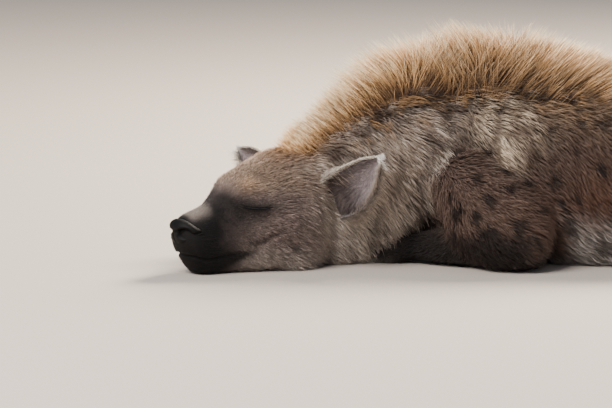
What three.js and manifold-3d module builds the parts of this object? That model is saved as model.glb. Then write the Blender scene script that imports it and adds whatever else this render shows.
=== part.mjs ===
// A spotted hyena asleep on its chest with its chin on the ground, at life size, in millimetres.
// +Z is up and the floor is Z = 0. The hyena lies along X and faces -X, and its left side faces -Y.
// The origin is on the floor, in the flat of the belly.
import * as THREE from "three";
import { mergeVertices } from "three/addons/utils/BufferGeometryUtils.js";
import Module from "manifold-3d";

const wasm = await Module();
wasm.setup();

// Driving sizes. Heights and widths reach to the tips of the short coat.
const noseX = -587; // the tip of the nose
const noseY = -232;
const headTurn = THREE.MathUtils.degToRad(35); // the muzzle is turned towards the hyena's left
const headLength = 292; // from the tip of the nose to the back of the head
const headFront = 11; // the lips stand back from the tip of the nose
const torsoStart = -215;
const torsoEnd = 592;
const eyeX = 129; // the middle of an eye, back from the nose
const eyeZ = 113;
const earLength = 118;
const toeSpread = 16; // between the middles of two toes
const toeReach = 52; // from the end of the foot to the tip of a middle toe
const clearance = 0.4; // what a neighbour's cut leaves between two pieces
const underFloor = -6; // how far a cutting copy reaches below the floor

const upAxis = new THREE.Vector3(0, 0, 1);
const v = (x, y, z) => new THREE.Vector3(x, y, z);

// A smooth curve through pairs of place and value.
function through(...pairs) {
  const slope = (i) => {
    const a = pairs[Math.max(i - 1, 0)];
    const b = pairs[Math.min(i + 1, pairs.length - 1)];
    return (b[1] - a[1]) / (b[0] - a[0]);
  };
  return (x) => {
    const last = pairs.length - 2;
    let i = 0;
    while (i < last && x > pairs[i + 1][0]) i += 1;
    const [x0, y0] = pairs[i];
    const [x1, y1] = pairs[i + 1];
    const run = x1 - x0;
    const t = THREE.MathUtils.clamp((x - x0) / run, 0, 1);
    const bend = t * t * (3 - 2 * t);
    const start = slope(i) * run * t * (1 - t) * (1 - t);
    const end = slope(i + 1) * run * t * t * (t - 1);
    return y0 + (y1 - y0) * bend + start + end;
  };
}

// A curve through points, with its frame held upright.
function along(points) {
  const curve = new THREE.CatmullRomCurve3(points, false, "centripetal");
  return {
    centre: (t) => curve.getPoint(t),
    frame: (t) => {
      const ahead = curve.getTangent(t);
      const across = new THREE.Vector3().crossVectors(ahead, upAxis).normalize();
      return { across, upward: new THREE.Vector3().crossVectors(across, ahead).normalize() };
    },
  };
}

// A swept form is centre(t), frame(t) and size(t) for t from 0 to 1. The size is the half width, the
// height above and below the centre, and how full each half is: under 1 is boxy, over 1 is sharp.
function ringPoint(form, t, angle, grow = 0) {
  const { side, up, down, upFull = 1, downFull = 1 } = form.size(t);
  const { across, upward } = form.frame(t);
  const wide = Math.cos(angle);
  const tall = Math.sin(angle);
  const cap = form.cap ? form.cap(t) : 1;
  const width = Math.sign(wide) * Math.abs(wide) ** (tall > 0 ? upFull : downFull);
  return form
    .centre(t)
    .clone()
    .addScaledVector(across, width * (side * cap + grow))
    .addScaledVector(upward, tall * ((tall > 0 ? up : down) * cap + grow));
}

// Domes over the first and last share of a form's length, and rings set closer towards its ends.
const domes = (first, last) => (t) => {
  const dome = (share) => Math.sqrt(1 - (1 - Math.min(1, share)) ** 2);
  return Math.max(0.12, (first > 0 ? dome(t / first) : 1) * (last > 0 ? dome((1 - t) / last) : 1));
};
const closerAtEnds = (even) => 0.5 - 0.5 * Math.cos(Math.PI * even);

// The closed body of a swept form. A grown copy is wider and longer all round, to cut a neighbour clear.
function sweep(form, grow = 0) {
  const g = new THREE.CylinderGeometry(1, 1, 1, form.sides, form.steps);
  const place = g.getAttribute("position");
  const floor = grow > 0 ? underFloor : 0;
  for (let i = 0; i < place.count; i += 1) {
    const x = place.getX(i);
    const z = place.getZ(i);
    const even = THREE.MathUtils.clamp(place.getY(i) + 0.5, 0, 1);
    const t = form.spacing ? form.spacing(even) : even;
    const isHub = Math.hypot(x, z) < 0.5;
    const p = isHub ? form.centre(t).clone() : ringPoint(form, t, Math.atan2(z, x), grow);
    if (form.shape && !isHub) form.shape(p, t);
    if (grow > 0 && (even === 0 || even === 1)) {
      const ahead = form.centre(Math.min(1, t + 0.01)).clone().sub(form.centre(Math.max(0, t - 0.01)));
      p.addScaledVector(ahead.normalize(), even === 0 ? -grow : grow);
    }
    place.setXYZ(i, p.x, p.y, Math.max(p.z, floor));
  }
  return solidOf(g);
}

function solidOf(geometry) {
  geometry.deleteAttribute("normal");
  geometry.deleteAttribute("uv");
  const merged = mergeVertices(geometry, 1e-3);
  const index = merged.index.array;
  const corners = [];
  for (let i = 0; i < index.length; i += 3) {
    const [a, b, c] = [index[i], index[i + 1], index[i + 2]];
    if (a !== b && b !== c && a !== c) corners.push(a, b, c);
  }
  const make = (order) => new wasm.Manifold(new wasm.Mesh({
    numProp: 3,
    vertProperties: merged.getAttribute("position").array,
    triVerts: new Uint32Array(order),
  }));
  const made = make(corners);
  return made.volume() > 0 ? made : make(corners.reverse());
}

const join = (solids) => solids.reduce((all, one) => all.add(one));
const cut = (solid, cutters) => cutters.reduce((left, one) => left.subtract(one), solid);
const bigger = (a, b) => (b.volume() > a.volume() ? b : a);
const largest = (solid) => solid.decompose().reduce(bigger);

const parts = new Map(); // the name of each piece and its solid
const addPart = (name, solid) => parts.set(name, largest(solid));

// Torso
const torsoTop = through(
  [torsoStart, 214], [-180, 262], [-120, 300], [-40, 321], [60, 314],
  [200, 294], [340, 280], [450, 266], [520, 238], [565, 196], [torsoEnd, 160],
);
const torsoBottom = through(
  [torsoStart, 110], [-180, 52], [-120, 10], [-60, -16], [400, -16], [480, -8], [545, 22], [torsoEnd, 116],
);
const torsoHalf = through(
  [torsoStart, 40], [-180, 84], [-120, 120], [-40, 148], [80, 163],
  [250, 170], [380, 156], [480, 138], [550, 96], [torsoEnd, 26],
);
const torsoPushes = [
  { at: [-62, 112, 240], reach: 62, by: 9 }, // shoulder blade
  { at: [70, 150, 190], reach: 70, by: -9 }, // hollow behind the shoulder
  { at: [180, 160, 130], reach: 90, by: 6 }, // rib cage
  { at: [318, 128, 225], reach: 62, by: -10 }, // hollow of the flank
];
function pushTorso(p) {
  for (const { at, reach, by } of torsoPushes) {
    const far = Math.hypot(p.x - at[0], Math.abs(p.y) - at[1], p.z - at[2]) / reach;
    p.y *= 1 + (by / at[1]) * Math.exp(-far * far);
  }
}
const torsoX = (t) => THREE.MathUtils.lerp(torsoStart, torsoEnd, t);
const torsoForm = {
  sides: 28,
  steps: 24,
  centre: (t) => {
    const x = torsoX(t);
    return v(x, 0, THREE.MathUtils.lerp(torsoBottom(x), torsoTop(x), 0.42));
  },
  frame: () => ({ across: v(0, 1, 0), upward: upAxis }),
  size: (t) => {
    const x = torsoX(t);
    const deep = torsoTop(x) - torsoBottom(x);
    return { side: torsoHalf(x), up: deep * 0.58, down: deep * 0.42, upFull: 1.12, downFull: 0.72 };
  },
  shape: pushTorso,
};

// Head: x runs back from the tip of the nose, y to the hyena's left and z up from the floor.
const headBack = v(Math.cos(headTurn), Math.sin(headTurn), 0);
const headLeft = v(Math.sin(headTurn), -Math.cos(headTurn), 0);
const onHead = (x, y, z) => v(noseX, noseY, z).addScaledVector(headBack, x).addScaledVector(headLeft, y);
const headTop = through(
  [headFront, 72], [15, 86], [19, 95], [25, 101], [38, 107], [62, 115], [78, 125], [97, 145],
  [122, 164], [150, 178], [170, 186], [192, 193], [212, 198], [240, 199], [268, 188], [headLength, 165],
);
const headBottom = through(
  [headFront, 54], [15, 44], [22, 33], [31, 18], [41, 4], [52, -5],
  [72, -8], [225, -7], [258, 2], [headLength, 34],
);
const headHalf = through(
  [headFront, 14], [15, 22], [20, 28], [27, 34], [38, 38], [60, 43], [85, 48], [105, 56],
  [125, 68], [150, 82], [180, 92], [210, 95], [240, 90], [268, 78], [headLength, 55],
);
const headPushes = [
  { at: [122, 58, 117], reach: 18, by: -8 }, // eye socket
  { at: [118, 44, 146], reach: 20, by: 8 }, // brow
  { at: [96, 0, 136], reach: 18, by: -4 }, // stop between the eyes
  { at: [158, 84, 96], reach: 34, by: 5 }, // cheek bone
  { at: [168, 58, 158], reach: 24, by: -6 }, // temple
  { at: [36, 36, 50], reach: 19, by: 5 }, // whisker pad
  { at: [78, 46, 78], reach: 22, by: -5 }, // hollow of the muzzle's side
  { at: [205, 0, 205], reach: 28, by: 5 }, // crown
];
function pushHead(p) {
  const local = p.clone().sub(v(noseX, noseY, 0));
  const x = local.dot(headBack);
  const y = local.dot(headLeft);
  const out = v(0, y, p.z - (headTop(x) + headBottom(x)) / 2).normalize();
  let push = 0;
  for (const { at, reach, by } of headPushes) {
    const far = Math.hypot(x - at[0], Math.abs(y) - at[1], p.z - at[2]) / reach;
    push += by * Math.exp(-far * far);
  }
  p.addScaledVector(headLeft, out.y * push);
  p.z += out.z * push;
}
const headX = (t) => THREE.MathUtils.lerp(headFront, headLength, t);
const headForm = {
  sides: 30,
  steps: 26,
  spacing: (even) => even ** 1.4,
  centre: (t) => onHead(headX(t), 0, (headTop(headX(t)) + headBottom(headX(t))) / 2),
  frame: () => ({ across: headLeft, upward: upAxis }),
  size: (t) => {
    const x = headX(t);
    const tall = (headTop(x) - headBottom(x)) / 2;
    const upFull = THREE.MathUtils.lerp(0.95, 1.1, Math.min(1, x / 150));
    return { side: headHalf(x), up: tall, down: tall, upFull, downFull: 0.8 };
  },
  shape: pushHead,
};

// The place on the head's skin at a distance back from the nose and a height, on side 1 (left) or -1,
// with the directions along the skin and out of it.
function skinPlace(x, z, side) {
  const t = (x - headFront) / (headLength - headFront);
  const atAngle = (angle) => {
    const p = ringPoint(headForm, t, angle);
    pushHead(p);
    return p;
  };
  let low = -Math.PI / 2;
  let high = Math.PI / 2;
  for (let i = 0; i < 24; i += 1) {
    const middle = (low + high) / 2;
    if (atAngle(middle).z > z) high = middle;
    else low = middle;
  }
  const y = atAngle(low).sub(v(noseX, noseY, 0)).dot(headLeft);
  return onHead(x, side * y, z);
}
function skinFrame(x, z, side) {
  const step = 9;
  const back = skinPlace(x + step, z, side).sub(skinPlace(x - step, z, side)).normalize();
  const rise = skinPlace(x, z + step, side).sub(skinPlace(x, z - step, side)).normalize();
  const out = new THREE.Vector3().crossVectors(rise, back).multiplyScalar(side).normalize();
  const up = new THREE.Vector3().crossVectors(back, out).multiplyScalar(side).normalize();
  return { at: skinPlace(x, z, side), back, up, out };
}

// The pad of the nose, which reaches back along both sides of the muzzle.
const noseTip = 5;
const noseBack = 40;
const noseForm = {
  sides: 16,
  steps: 7,
  spacing: (even) => even ** 1.5,
  centre: (t) => onHead(THREE.MathUtils.lerp(noseTip, noseBack, t), 0, THREE.MathUtils.lerp(77, 73, t)),
  frame: () => ({ across: headLeft, upward: upAxis }),
  size: (t) => ({
    side: through([0, 11], [0.1, 19], [0.25, 26], [0.5, 33], [0.8, 37.5], [1, 38.5])(t),
    up: through([0, 7], [0.1, 14], [0.25, 20], [0.5, 21], [0.8, 14], [1, 8])(t),
    down: through([0, 9], [0.1, 17], [0.25, 22], [0.5, 19], [0.8, 12], [1, 7])(t),
    upFull: 0.85,
    downFull: 0.85,
  }),
};

// A cutting tube through points: thickness across the sheet it lies in, and depth into the skin.
const groove = (points, depth, thickness, steps, sides = 6) => ({
  sides,
  steps,
  ...along(points),
  size: (t) => {
    const taper = Math.min(1, 0.45 + 4 * Math.min(t, 1 - t));
    return { side: depth * taper, up: thickness * taper, down: thickness * taper };
  },
});
const nostril = (side) => groove(
  [onHead(-2, side * 20, 74), onHead(12, side * 18, 72), onHead(23, side * 12, 72)], 6.5, 6.5, 4, 7,
);
const nostrilSlit = (side) => groove(
  [
    onHead(12, side * 25, 68), onHead(21, side * 34, 65),
    onHead(30, side * 38, 68), onHead(40, side * 40, 75),
  ],
  4, 1.8, 5, 4,
);
const mouthHeights = [[136, 41], [104, 35], [76, 31], [54, 28], [38, 29], [29, 32]];
const mouthLine = groove(
  [
    ...mouthHeights.map(([x, z]) => skinPlace(x, z, -1)),
    onHead(21, 0, 34),
    ...mouthHeights.map(([x, z]) => skinPlace(x, z, 1)).reverse(),
  ],
  5, 1.1, 26, 4,
);
const lipGroove = groove([onHead(9, 0, 64), onHead(12, 0, 48), onHead(21, 0, 34)], 1.3, 3, 4, 4);

// Closed eyes: each socket holds an upper and a lower lid, which meet along a sagging line.
const lid = { long: 24, tall: 13, deep: 9, sunk: 5 };
function lidPieces(side) {
  const { at, back, up, out } = skinFrame(eyeX, eyeZ, side);
  const turn = new THREE.Matrix4().makeBasis(back, up, out);
  const lens = (grow) => {
    const g = new THREE.SphereGeometry(1, 14, 7);
    g.scale(lid.long + grow, lid.tall + grow, lid.deep + grow);
    g.translate(0, 0, -lid.sunk);
    g.applyMatrix4(turn);
    g.translate(at.x, at.y, at.z);
    return solidOf(g);
  };
  const below = (rise) => {
    const corner = lid.long + 6;
    const outline = new THREE.Shape();
    outline.moveTo(-corner, 6 + rise);
    outline.quadraticCurveTo(0, -14 + rise, corner, 2 + rise);
    outline.lineTo(corner, -3 * lid.tall);
    outline.lineTo(-corner, -3 * lid.tall);
    const thick = 6 * lid.deep;
    const g = new THREE.ExtrudeGeometry(outline, { depth: thick, bevelEnabled: false, curveSegments: 8 });
    g.translate(0, 0, -thick / 2);
    g.applyMatrix4(turn);
    g.translate(at.x, at.y, at.z);
    return solidOf(g);
  };
  const upper = lens(0).subtract(below(clearance));
  const lower = lens(0).intersect(below(0));
  return { upper, lower, socket: lens(clearance) };
}

// Ears: a thick-edged cup that narrows to a rounded tip. The filled form is the cup with its hollow.
function earForm(side, rootAt, aimAt, openTo) {
  const direction = (x, y, z) => onHead(x, side * y, z).sub(onHead(0, 0, 0)).normalize();
  const root = onHead(rootAt[0], side * rootAt[1], rootAt[2]);
  const aim = direction(...aimAt);
  const facing = direction(...openTo);
  const opening = facing.addScaledVector(aim, -facing.dot(aim)).normalize();
  const wide = new THREE.Vector3().crossVectors(opening, aim).normalize();
  const curl = through([0, 0], [0.5, -9], [1, -2]);
  const rise = through([0, -4], [0.45, -7], [0.8, -2], [1, 0]);
  return {
    centre: (t) => root.clone().addScaledVector(aim, t * earLength).addScaledVector(opening, curl(t))
      .addScaledVector(wide, Math.sign(wide.z) * rise(t)),
    wide,
    opening,
    half: through([0, 36], [0.2, 42], [0.45, 39], [0.7, 28], [0.88, 15], [1, 5]),
    cup: through([0, 22], [0.3, 24], [0.6, 16], [0.85, 8], [1, 2.5]),
    wall: through([0, 11], [0.4, 7], [1, 5]),
  };
}
function ear(form, filled = false, grow = 0) {
  const rim = filled ? 0 : 4;
  const g = new THREE.CylinderGeometry(1, 1, 1, 16, 7);
  const place = g.getAttribute("position");
  for (let i = 0; i < place.count; i += 1) {
    const x = place.getX(i);
    const z = place.getZ(i);
    const t = THREE.MathUtils.clamp(place.getY(i) + 0.5, 0, 1);
    const radius = Math.hypot(x, z);
    const isHub = radius < 0.5;
    const outer = form.cup(t) + form.wall(t) + grow;
    const inner = filled ? -grow : form.cup(t);
    const s = isHub ? 0 : z / radius;
    const c = isHub ? 0 : x / radius;
    const deep = isHub ? -(inner + outer) / 2 : s < 0 ? s * outer : -s * inner;
    const p = form.centre(t).clone();
    p.addScaledVector(form.opening, deep);
    p.addScaledVector(form.wide, c * (form.half(t) - (s > 0.01 ? rim : 0) + grow));
    place.setXYZ(i, p.x, p.y, p.z);
  }
  return solidOf(g);
}
const ears = {
  left: earForm(1, [254, 88, 118], [56, 70, 70], [-0.8, 0.54, 0.1]),
  right: earForm(-1, [248, 84, 126], [15, 104, 46], [-1, 0.12, 0.04]),
};

// Neck: from inside the back of the head up to the withers, drawn in behind the ears.
function pushNeck(p, t) {
  const inward = neckForm.centre(t).clone().sub(p).normalize();
  for (const { centre } of Object.values(ears)) {
    const far = p.distanceTo(centre(0.15)) / 48;
    p.addScaledVector(inward, 15 * Math.exp(-far * far));
  }
}
const neckForm = {
  sides: 28,
  steps: 12,
  ...along([
    onHead(225, 0, 104), v(-338, -74, 122), v(-268, -44, 152),
    v(-204, -18, 184), v(-150, -6, 202), v(-104, 0, 208),
  ]),
  size: (t) => ({
    side: through([0, 60], [0.2, 84], [0.4, 99], [0.62, 107], [0.82, 94], [1, 72])(t),
    up: through([0, 66], [0.2, 92], [0.45, 106], [0.7, 106], [0.88, 98], [1, 84])(t),
    down: through([0, 92], [0.2, 124], [0.42, 130], [0.65, 120], [0.88, 108], [1, 92])(t),
    upFull: 1.05,
    downFull: 0.9,
  }),
  cap: domes(0.12, 0.16),
  shape: pushNeck,
};

// A limb length: a swept tube through points, with its radii from start to end.
const limb = (points, radii, sides = 12, steps = 7, flat = 1) => ({
  sides,
  steps,
  spacing: closerAtEnds,
  ...along(points),
  size: (t) => {
    const r = through(...radii)(t);
    return { side: r * flat, up: r, down: r };
  },
  cap: domes(0.16, 0.16),
});

// Fore legs: the elbow rests beside the chest and the paw runs inward under the neck.
const arm = (points) => limb(points, [[0, 50], [0.28, 68], [0.62, 78], [1, 60]], 14, 8);
const forearmRadii = [[0, 40], [0.25, 39], [0.6, 33], [1, 28]];
const forePawRadii = [[0, 27], [0.5, 28], [1, 22]];
const foreLegs = {
  left: {
    arm: arm([
      v(-108, -72, 178), v(-88, -108, 134), v(-54, -142, 88), v(-8, -154, 56), v(36, -152, 44),
    ]),
    forearm: limb([v(14, -150, 40), v(-62, -138, 34), v(-138, -106, 31), v(-184, -82, 28)], forearmRadii),
    paw: [v(-170, -87, 26), v(-216, -66, 25), v(-248, -52, 22)],
    toeAim: v(-1, 0.3, 0).normalize(),
  },
  right: {
    arm: arm([
      v(-108, 72, 178), v(-86, 108, 134), v(-48, 142, 88), v(0, 154, 56), v(44, 150, 44),
    ]),
    forearm: limb([v(26, 148, 40), v(-50, 140, 34), v(-130, 122, 31), v(-188, 108, 28)], forearmRadii),
    paw: [v(-174, 111, 26), v(-224, 99, 25), v(-262, 92, 22)],
    toeAim: v(-1, -0.16, 0).normalize(),
  },
};

// Hind legs: folded beside the belly, with the feet pointing forward.
const hindLeg = (s) => ({
  thigh: limb(
    [v(490, s * 66, 178), v(440, s * 98, 158), v(370, s * 128, 126), v(316, s * 142, 98)],
    [[0, 74], [0.35, 92], [0.7, 82], [1, 58]],
    16,
    8,
  ),
  shank: limb(
    [v(318, s * 156, 78), v(380, s * 168, 66), v(440, s * 172, 52), v(486, s * 170, 40)],
    [[0, 42], [0.3, 38], [0.7, 27], [1, 24]],
  ),
  paw: [v(500, s * 172, 26), v(440, s * 186, 24), v(372, s * 192, 22), v(330, s * 194, 20)],
  toeAim: v(-1, s * 0.04, 0).normalize(),
});
const hindPawRadii = [[0, 25], [0.4, 22], [0.8, 24], [1, 21]];

// A paw: the tube of the foot with four toes, and four claws that stay pieces of their own.
function pawForms(leg, radii) {
  const root = leg.paw[leg.paw.length - 1];
  const across = new THREE.Vector3().crossVectors(upAxis, leg.toeAim).normalize();
  const toes = [];
  const claws = [];
  for (const place of [-1.5, -0.5, 0.5, 1.5]) {
    const reach = Math.abs(place) > 1 ? toeReach - 12 : toeReach;
    const aim = leg.toeAim.clone().addScaledVector(across, place * 0.07).normalize();
    const at = (ahead, height) => root.clone()
      .addScaledVector(across, place * toeSpread)
      .addScaledVector(aim, ahead)
      .setZ(height);
    toes.push(limb(
      [at(reach - 74, 20), at(reach - 44, 24), at(reach - 22, 20), at(reach, 12)],
      [[0, 10], [0.4, 12], [0.75, 12], [1, 10]],
      6,
      3,
    ));
    claws.push({
      sides: 4,
      steps: 2,
      ...along([at(reach - 10, 17), at(reach + 2, 17), at(reach + 12, 12.5), at(reach + 17, 7)]),
      size: (t) => {
        const r = through([0, 4.6], [0.5, 4.2], [1, 1.3])(t);
        return { side: r * 0.85, up: r, down: r };
      },
    });
  }
  const tip = root.clone().addScaledVector(leg.toeAim, toeReach + 40).setZ(16);
  const cover = limb([...leg.paw, tip], [[0, 31], [0.5, 35], [1, 34]], 8, 4, 1.4);
  return { foot: limb(leg.paw, radii, 8, 4, 1.18), toes, claws, cover };
}

// The tail hangs from the rump and lies curved round the hyena's left haunch.
const tailLine = new THREE.CatmullRomCurve3([
  v(556, 0, 204), v(618, -4, 166), v(664, -20, 104), v(682, -56, 54), v(676, -104, 32), v(646, -154, 26),
], false, "centripetal");
const tailUp = v(1, 0, 1.4); // never along the tail
const tailRadius = through([0, 36], [0.3, 29], [0.6, 27], [1, 24]);
const tailLength = (from, to, capFirst, capLast) => ({
  sides: 12,
  steps: 5,
  centre: (t) => tailLine.getPoint(THREE.MathUtils.lerp(from, to, t)),
  frame: (t) => {
    const ahead = tailLine.getTangent(THREE.MathUtils.lerp(from, to, t));
    const across = new THREE.Vector3().crossVectors(ahead, tailUp).normalize();
    return { across, upward: new THREE.Vector3().crossVectors(across, ahead).normalize() };
  },
  size: (t) => {
    const r = tailRadius(THREE.MathUtils.lerp(from, to, t));
    return { side: r, up: r, down: r };
  },
  cap: domes(capFirst, capLast),
});
const tailForms = {
  tail_base: tailLength(0, 0.36, 0, 0),
  tail_middle: tailLength(0.36, 0.68, 0, 0),
  tail_tip: tailLength(0.68, 1, 0, 0.4),
};
// Locks of hair: flat, tapered and bent, each with its root sunk into what it grows from.
const lock = { sunk: 16, thick: 6, share: through([0, 0.5], [0.4, 1], [0.75, 0.68], [1, 0]) };
const random = mulberry(20);
function mulberry(seed) {
  let state = seed;
  return () => {
    state = (state + 0x6d2b79f5) | 0;
    let t = Math.imul(state ^ (state >>> 15), 1 | state);
    t = (t + Math.imul(t ^ (t >>> 7), 61 | t)) ^ t;
    return ((t ^ (t >>> 14)) >>> 0) / 2 ** 32;
  };
}
const spread = (amount) => (random() * 2 - 1) * amount;
const varied = (value, share) => value * (1 + spread(share));

// A lock grows from root along aim, and its tip bends over by the vector bend.
function lockForm(root, aim, bend, across, length, width) {
  const whole = length + lock.sunk;
  const upward = new THREE.Vector3().crossVectors(across, aim).normalize();
  const wide = new THREE.Vector3().crossVectors(aim, upward).normalize();
  return {
    sides: 3,
    steps: 3,
    centre: (t) => root.clone().addScaledVector(aim, t * whole - lock.sunk).addScaledVector(bend, t * t),
    frame: () => ({ across: wide, upward }),
    size: (t) => {
      const thick = lock.thick * lock.share(t);
      return { side: (width / 2) * lock.share(t), up: thick, down: thick };
    },
  };
}

// A lock's edges are sharp, so a cutting copy has to be a good deal wider for the same clearance.
function widerLock(form) {
  const size = (t) => {
    const { side, up, down } = form.size(t);
    return { side: side + 7 * clearance, up: up + clearance, down: down + 2 * clearance };
  };
  return { ...form, size };
}

// The mane: rows of locks over the neck and back. Its hair stands up and leans towards the head,
// and further back it lies towards the tail. The rows away from the crest lie closer to the skin.
const mane = {
  width: 56,
  length: through(
    [-400, 34], [-340, 44], [-290, 64], [-240, 84], [-180, 94],
    [-60, 94], [10, 76], [80, 60], [160, 54], [330, 46],
  ),
  lean: through(
    [-400, 0.3], [-250, 0.37], [-120, 0.2], [-20, 0.07], [70, -0.18], [160, -0.78], [330, -1.56],
  ),
  outward: 0.35,
  closer: 1.2, // how much less a row points outward for each radian away from the crest
  shorter: 0.3, // the share of its length that it loses
  bend: 0.34, // how far a tip bends over, as a share of its length
};
function maneLock(form, t, angle, ahead) {
  const root = ringPoint(form, t, angle);
  if (form.shape) form.shape(root, t);
  const out = root.clone().sub(form.centre(t)).normalize();
  const fromCrest = Math.abs(angle - Math.PI / 2);
  const lean = mane.lean(root.x) + spread(0.06);
  const outward = mane.outward - mane.closer * fromCrest + spread(0.08);
  const aim = v(0, 0, 0.9).addScaledVector(out, outward).addScaledVector(ahead, lean).normalize();
  const length = varied(mane.length(root.x) * (1 - mane.shorter * fromCrest), 0.12);
  const across = ahead.clone().multiplyScalar(Math.sign(out.y)).addScaledVector(out, spread(0.3));
  const bend = ahead.clone().multiplyScalar(Math.sign(lean) * mane.bend * length);
  return lockForm(root, aim, bend, across, length, varied(mane.width, 0.15));
}
const degrees = THREE.MathUtils.degToRad;
function maneLocks(form, from, to, stations, rows) {
  const locks = [];
  for (let i = 0; i < stations; i += 1) {
    rows.forEach((offset, row) => {
      const place = i + (row % 2) * 0.5 + spread(0.12);
      const t = THREE.MathUtils.lerp(from, to, place / (stations - 0.5));
      const ahead = form.centre(t - 0.01).clone().sub(form.centre(t + 0.01)).normalize();
      locks.push(maneLock(form, t, degrees(90 + offset + spread(3)), ahead));
    });
  }
  return locks;
}
const neckLocks = maneLocks(neckForm, 0.12, 0.97, 8, [-38, -13, 13, 38]);
const backLocks = [
  ...maneLocks(torsoForm, 0.12, 0.33, 5, [-25, -8, 8, 25]),
  ...maneLocks(torsoForm, 0.38, 0.7, 7, [-16, 0, 16]),
];

// The brush: rings of locks that sweep on past the end of the tail, over its top and both sides.
const brush = {
  width: 40,
  angles: [-46, 4, 54, 104, 154],
  rings: [{ at: 0.2, length: 76, turn: 0 }, { at: 0.7, length: 84, turn: 14 }],
  outward: 0.36,
  bend: 0.2,
};
function brushLocks(form) {
  return brush.rings.flatMap((ring) => {
    const ahead = form.centre(ring.at + 0.02).clone().sub(form.centre(ring.at - 0.02)).normalize();
    return brush.angles.map((angle) => {
      const root = ringPoint(form, ring.at, degrees(angle + ring.turn + spread(5)));
      const out = root.clone().sub(form.centre(ring.at)).normalize();
      const aim = ahead.clone().addScaledVector(out, brush.outward + spread(0.08)).normalize();
      const across = new THREE.Vector3().crossVectors(aim, out);
      const bend = ahead.clone().addScaledVector(out, -1.2).multiplyScalar(brush.bend * ring.length);
      return lockForm(root, aim, bend, across, varied(ring.length, 0.12), varied(brush.width, 0.12));
    });
  });
}

// Putting the hyena together: each piece is cut clear of those already in place.
const grownLocks = backLocks.map((form) => sweep(widerLock(form), clearance));
const torsoCutters = [join([sweep(torsoForm, clearance), ...grownLocks])];
addPart("torso", join([torsoForm, ...backLocks].map((form) => sweep(form))));

const lids = { left: lidPieces(1), right: lidPieces(-1) };
const earPieces = {};
for (const side of ["left", "right"]) {
  earPieces[side] = {
    shell: ear(ears[side]),
    cutter: ear(ears[side], true, clearance),
  };
}
const headSolid = cut(sweep(headForm), [
  sweep(noseForm, clearance), sweep(mouthLine), sweep(lipGroove), lids.left.socket, lids.right.socket,
]);
const headCutter = sweep(headForm, clearance);
addPart("head", headSolid);
const nostrils = [-1, 1].flatMap((side) => [sweep(nostril(side)), sweep(nostrilSlit(side))]);
addPart("nose", cut(sweep(noseForm), nostrils));
for (const side of ["left", "right"]) {
  addPart(`eyelid_upper_${side}`, lids[side].upper);
  addPart(`eyelid_lower_${side}`, lids[side].lower);
  addPart(`ear_${side}`, cut(earPieces[side].shell, [headCutter, ...torsoCutters]));
}

// Returns the grown copies of a leg, which cut the pieces that come after it.
function addLeg(side, end, segments, paw) {
  const cutters = [...torsoCutters, headCutter];
  for (const [name, form] of segments) {
    addPart(`${name}_${side}`, cut(sweep(form), cutters));
    cutters.push(sweep(form, clearance));
  }
  const foot = join([paw.foot, ...paw.toes].map((form) => sweep(form)));
  addPart(`${end}_paw_${side}`, cut(foot, [...cutters, ...paw.claws.map((claw) => sweep(claw, clearance))]));
  paw.claws.forEach((claw, i) => addPart(`claw_${end}_${side}_${i + 1}`, sweep(claw)));
  return [...cutters.slice(torsoCutters.length + 1), sweep(paw.cover, clearance)];
}
const neckCutters = [...torsoCutters, headCutter, earPieces.left.cutter, earPieces.right.cutter];
for (const side of ["left", "right"]) {
  const fore = foreLegs[side];
  const foreSegments = [["upper_arm", fore.arm], ["forearm", fore.forearm]];
  neckCutters.push(...addLeg(side, "fore", foreSegments, pawForms(fore, forePawRadii)));
  const hind = hindLeg(side === "left" ? -1 : 1);
  addLeg(side, "hind", [["thigh", hind.thigh], ["shank", hind.shank]], pawForms(hind, hindPawRadii));
}
addPart("neck", cut(join([neckForm, ...neckLocks].map((form) => sweep(form))), neckCutters));

const tailCutters = [...torsoCutters];
for (const [name, form] of Object.entries(tailForms)) {
  const locks = name === "tail_tip" ? brushLocks(form) : [];
  addPart(name, cut(join([form, ...locks].map((one) => sweep(one))), tailCutters));
  tailCutters.push(sweep(form, clearance));
}

// The group that a viewer shows: one named mesh for each piece.
const finishes = {
  torso: [0x94765a, 0.92], neck: [0xa48b6f, 0.92], head: [0x7b6b5b, 0.9], nose: [0x14110f, 0.45],
  eyelid: [0x2b241f, 0.75], ear: [0x8f8377, 0.92], upper: [0x7f654e, 0.92], forearm: [0x33271f, 0.9],
  fore: [0x2c211b, 0.88], claw: [0x2a2320, 0.5], thigh: [0x866a50, 0.92], shank: [0x5b4636, 0.9],
  hind: [0x33271f, 0.88], tail: [0x3a2b22, 0.92],
};
const hyena = new THREE.Group();
for (const [name, solid] of parts) {
  const mesh = solid.getMesh();
  const geometry = new THREE.BufferGeometry();
  geometry.setAttribute("position", new THREE.BufferAttribute(new Float32Array(mesh.vertProperties), 3));
  geometry.setIndex(new THREE.BufferAttribute(new Uint32Array(mesh.triVerts), 1));
  geometry.computeVertexNormals();
  const [color, roughness] = finishes[name.split("_")[0]];
  const node = new THREE.Mesh(geometry, new THREE.MeshStandardMaterial({ color, roughness, metalness: 0 }));
  node.name = name;
  hyena.add(node);
}

export default hyena;
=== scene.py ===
# A life-size spotted hyena asleep on its chest. One skin takes the place of the solids of flesh,
# and a coat of solid tufts grows on it. Sizes are in millimetres where no note says otherwise.
import math
from itertools import product

import bmesh
import bpy
import numpy as np
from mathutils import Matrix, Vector, kdtree


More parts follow.
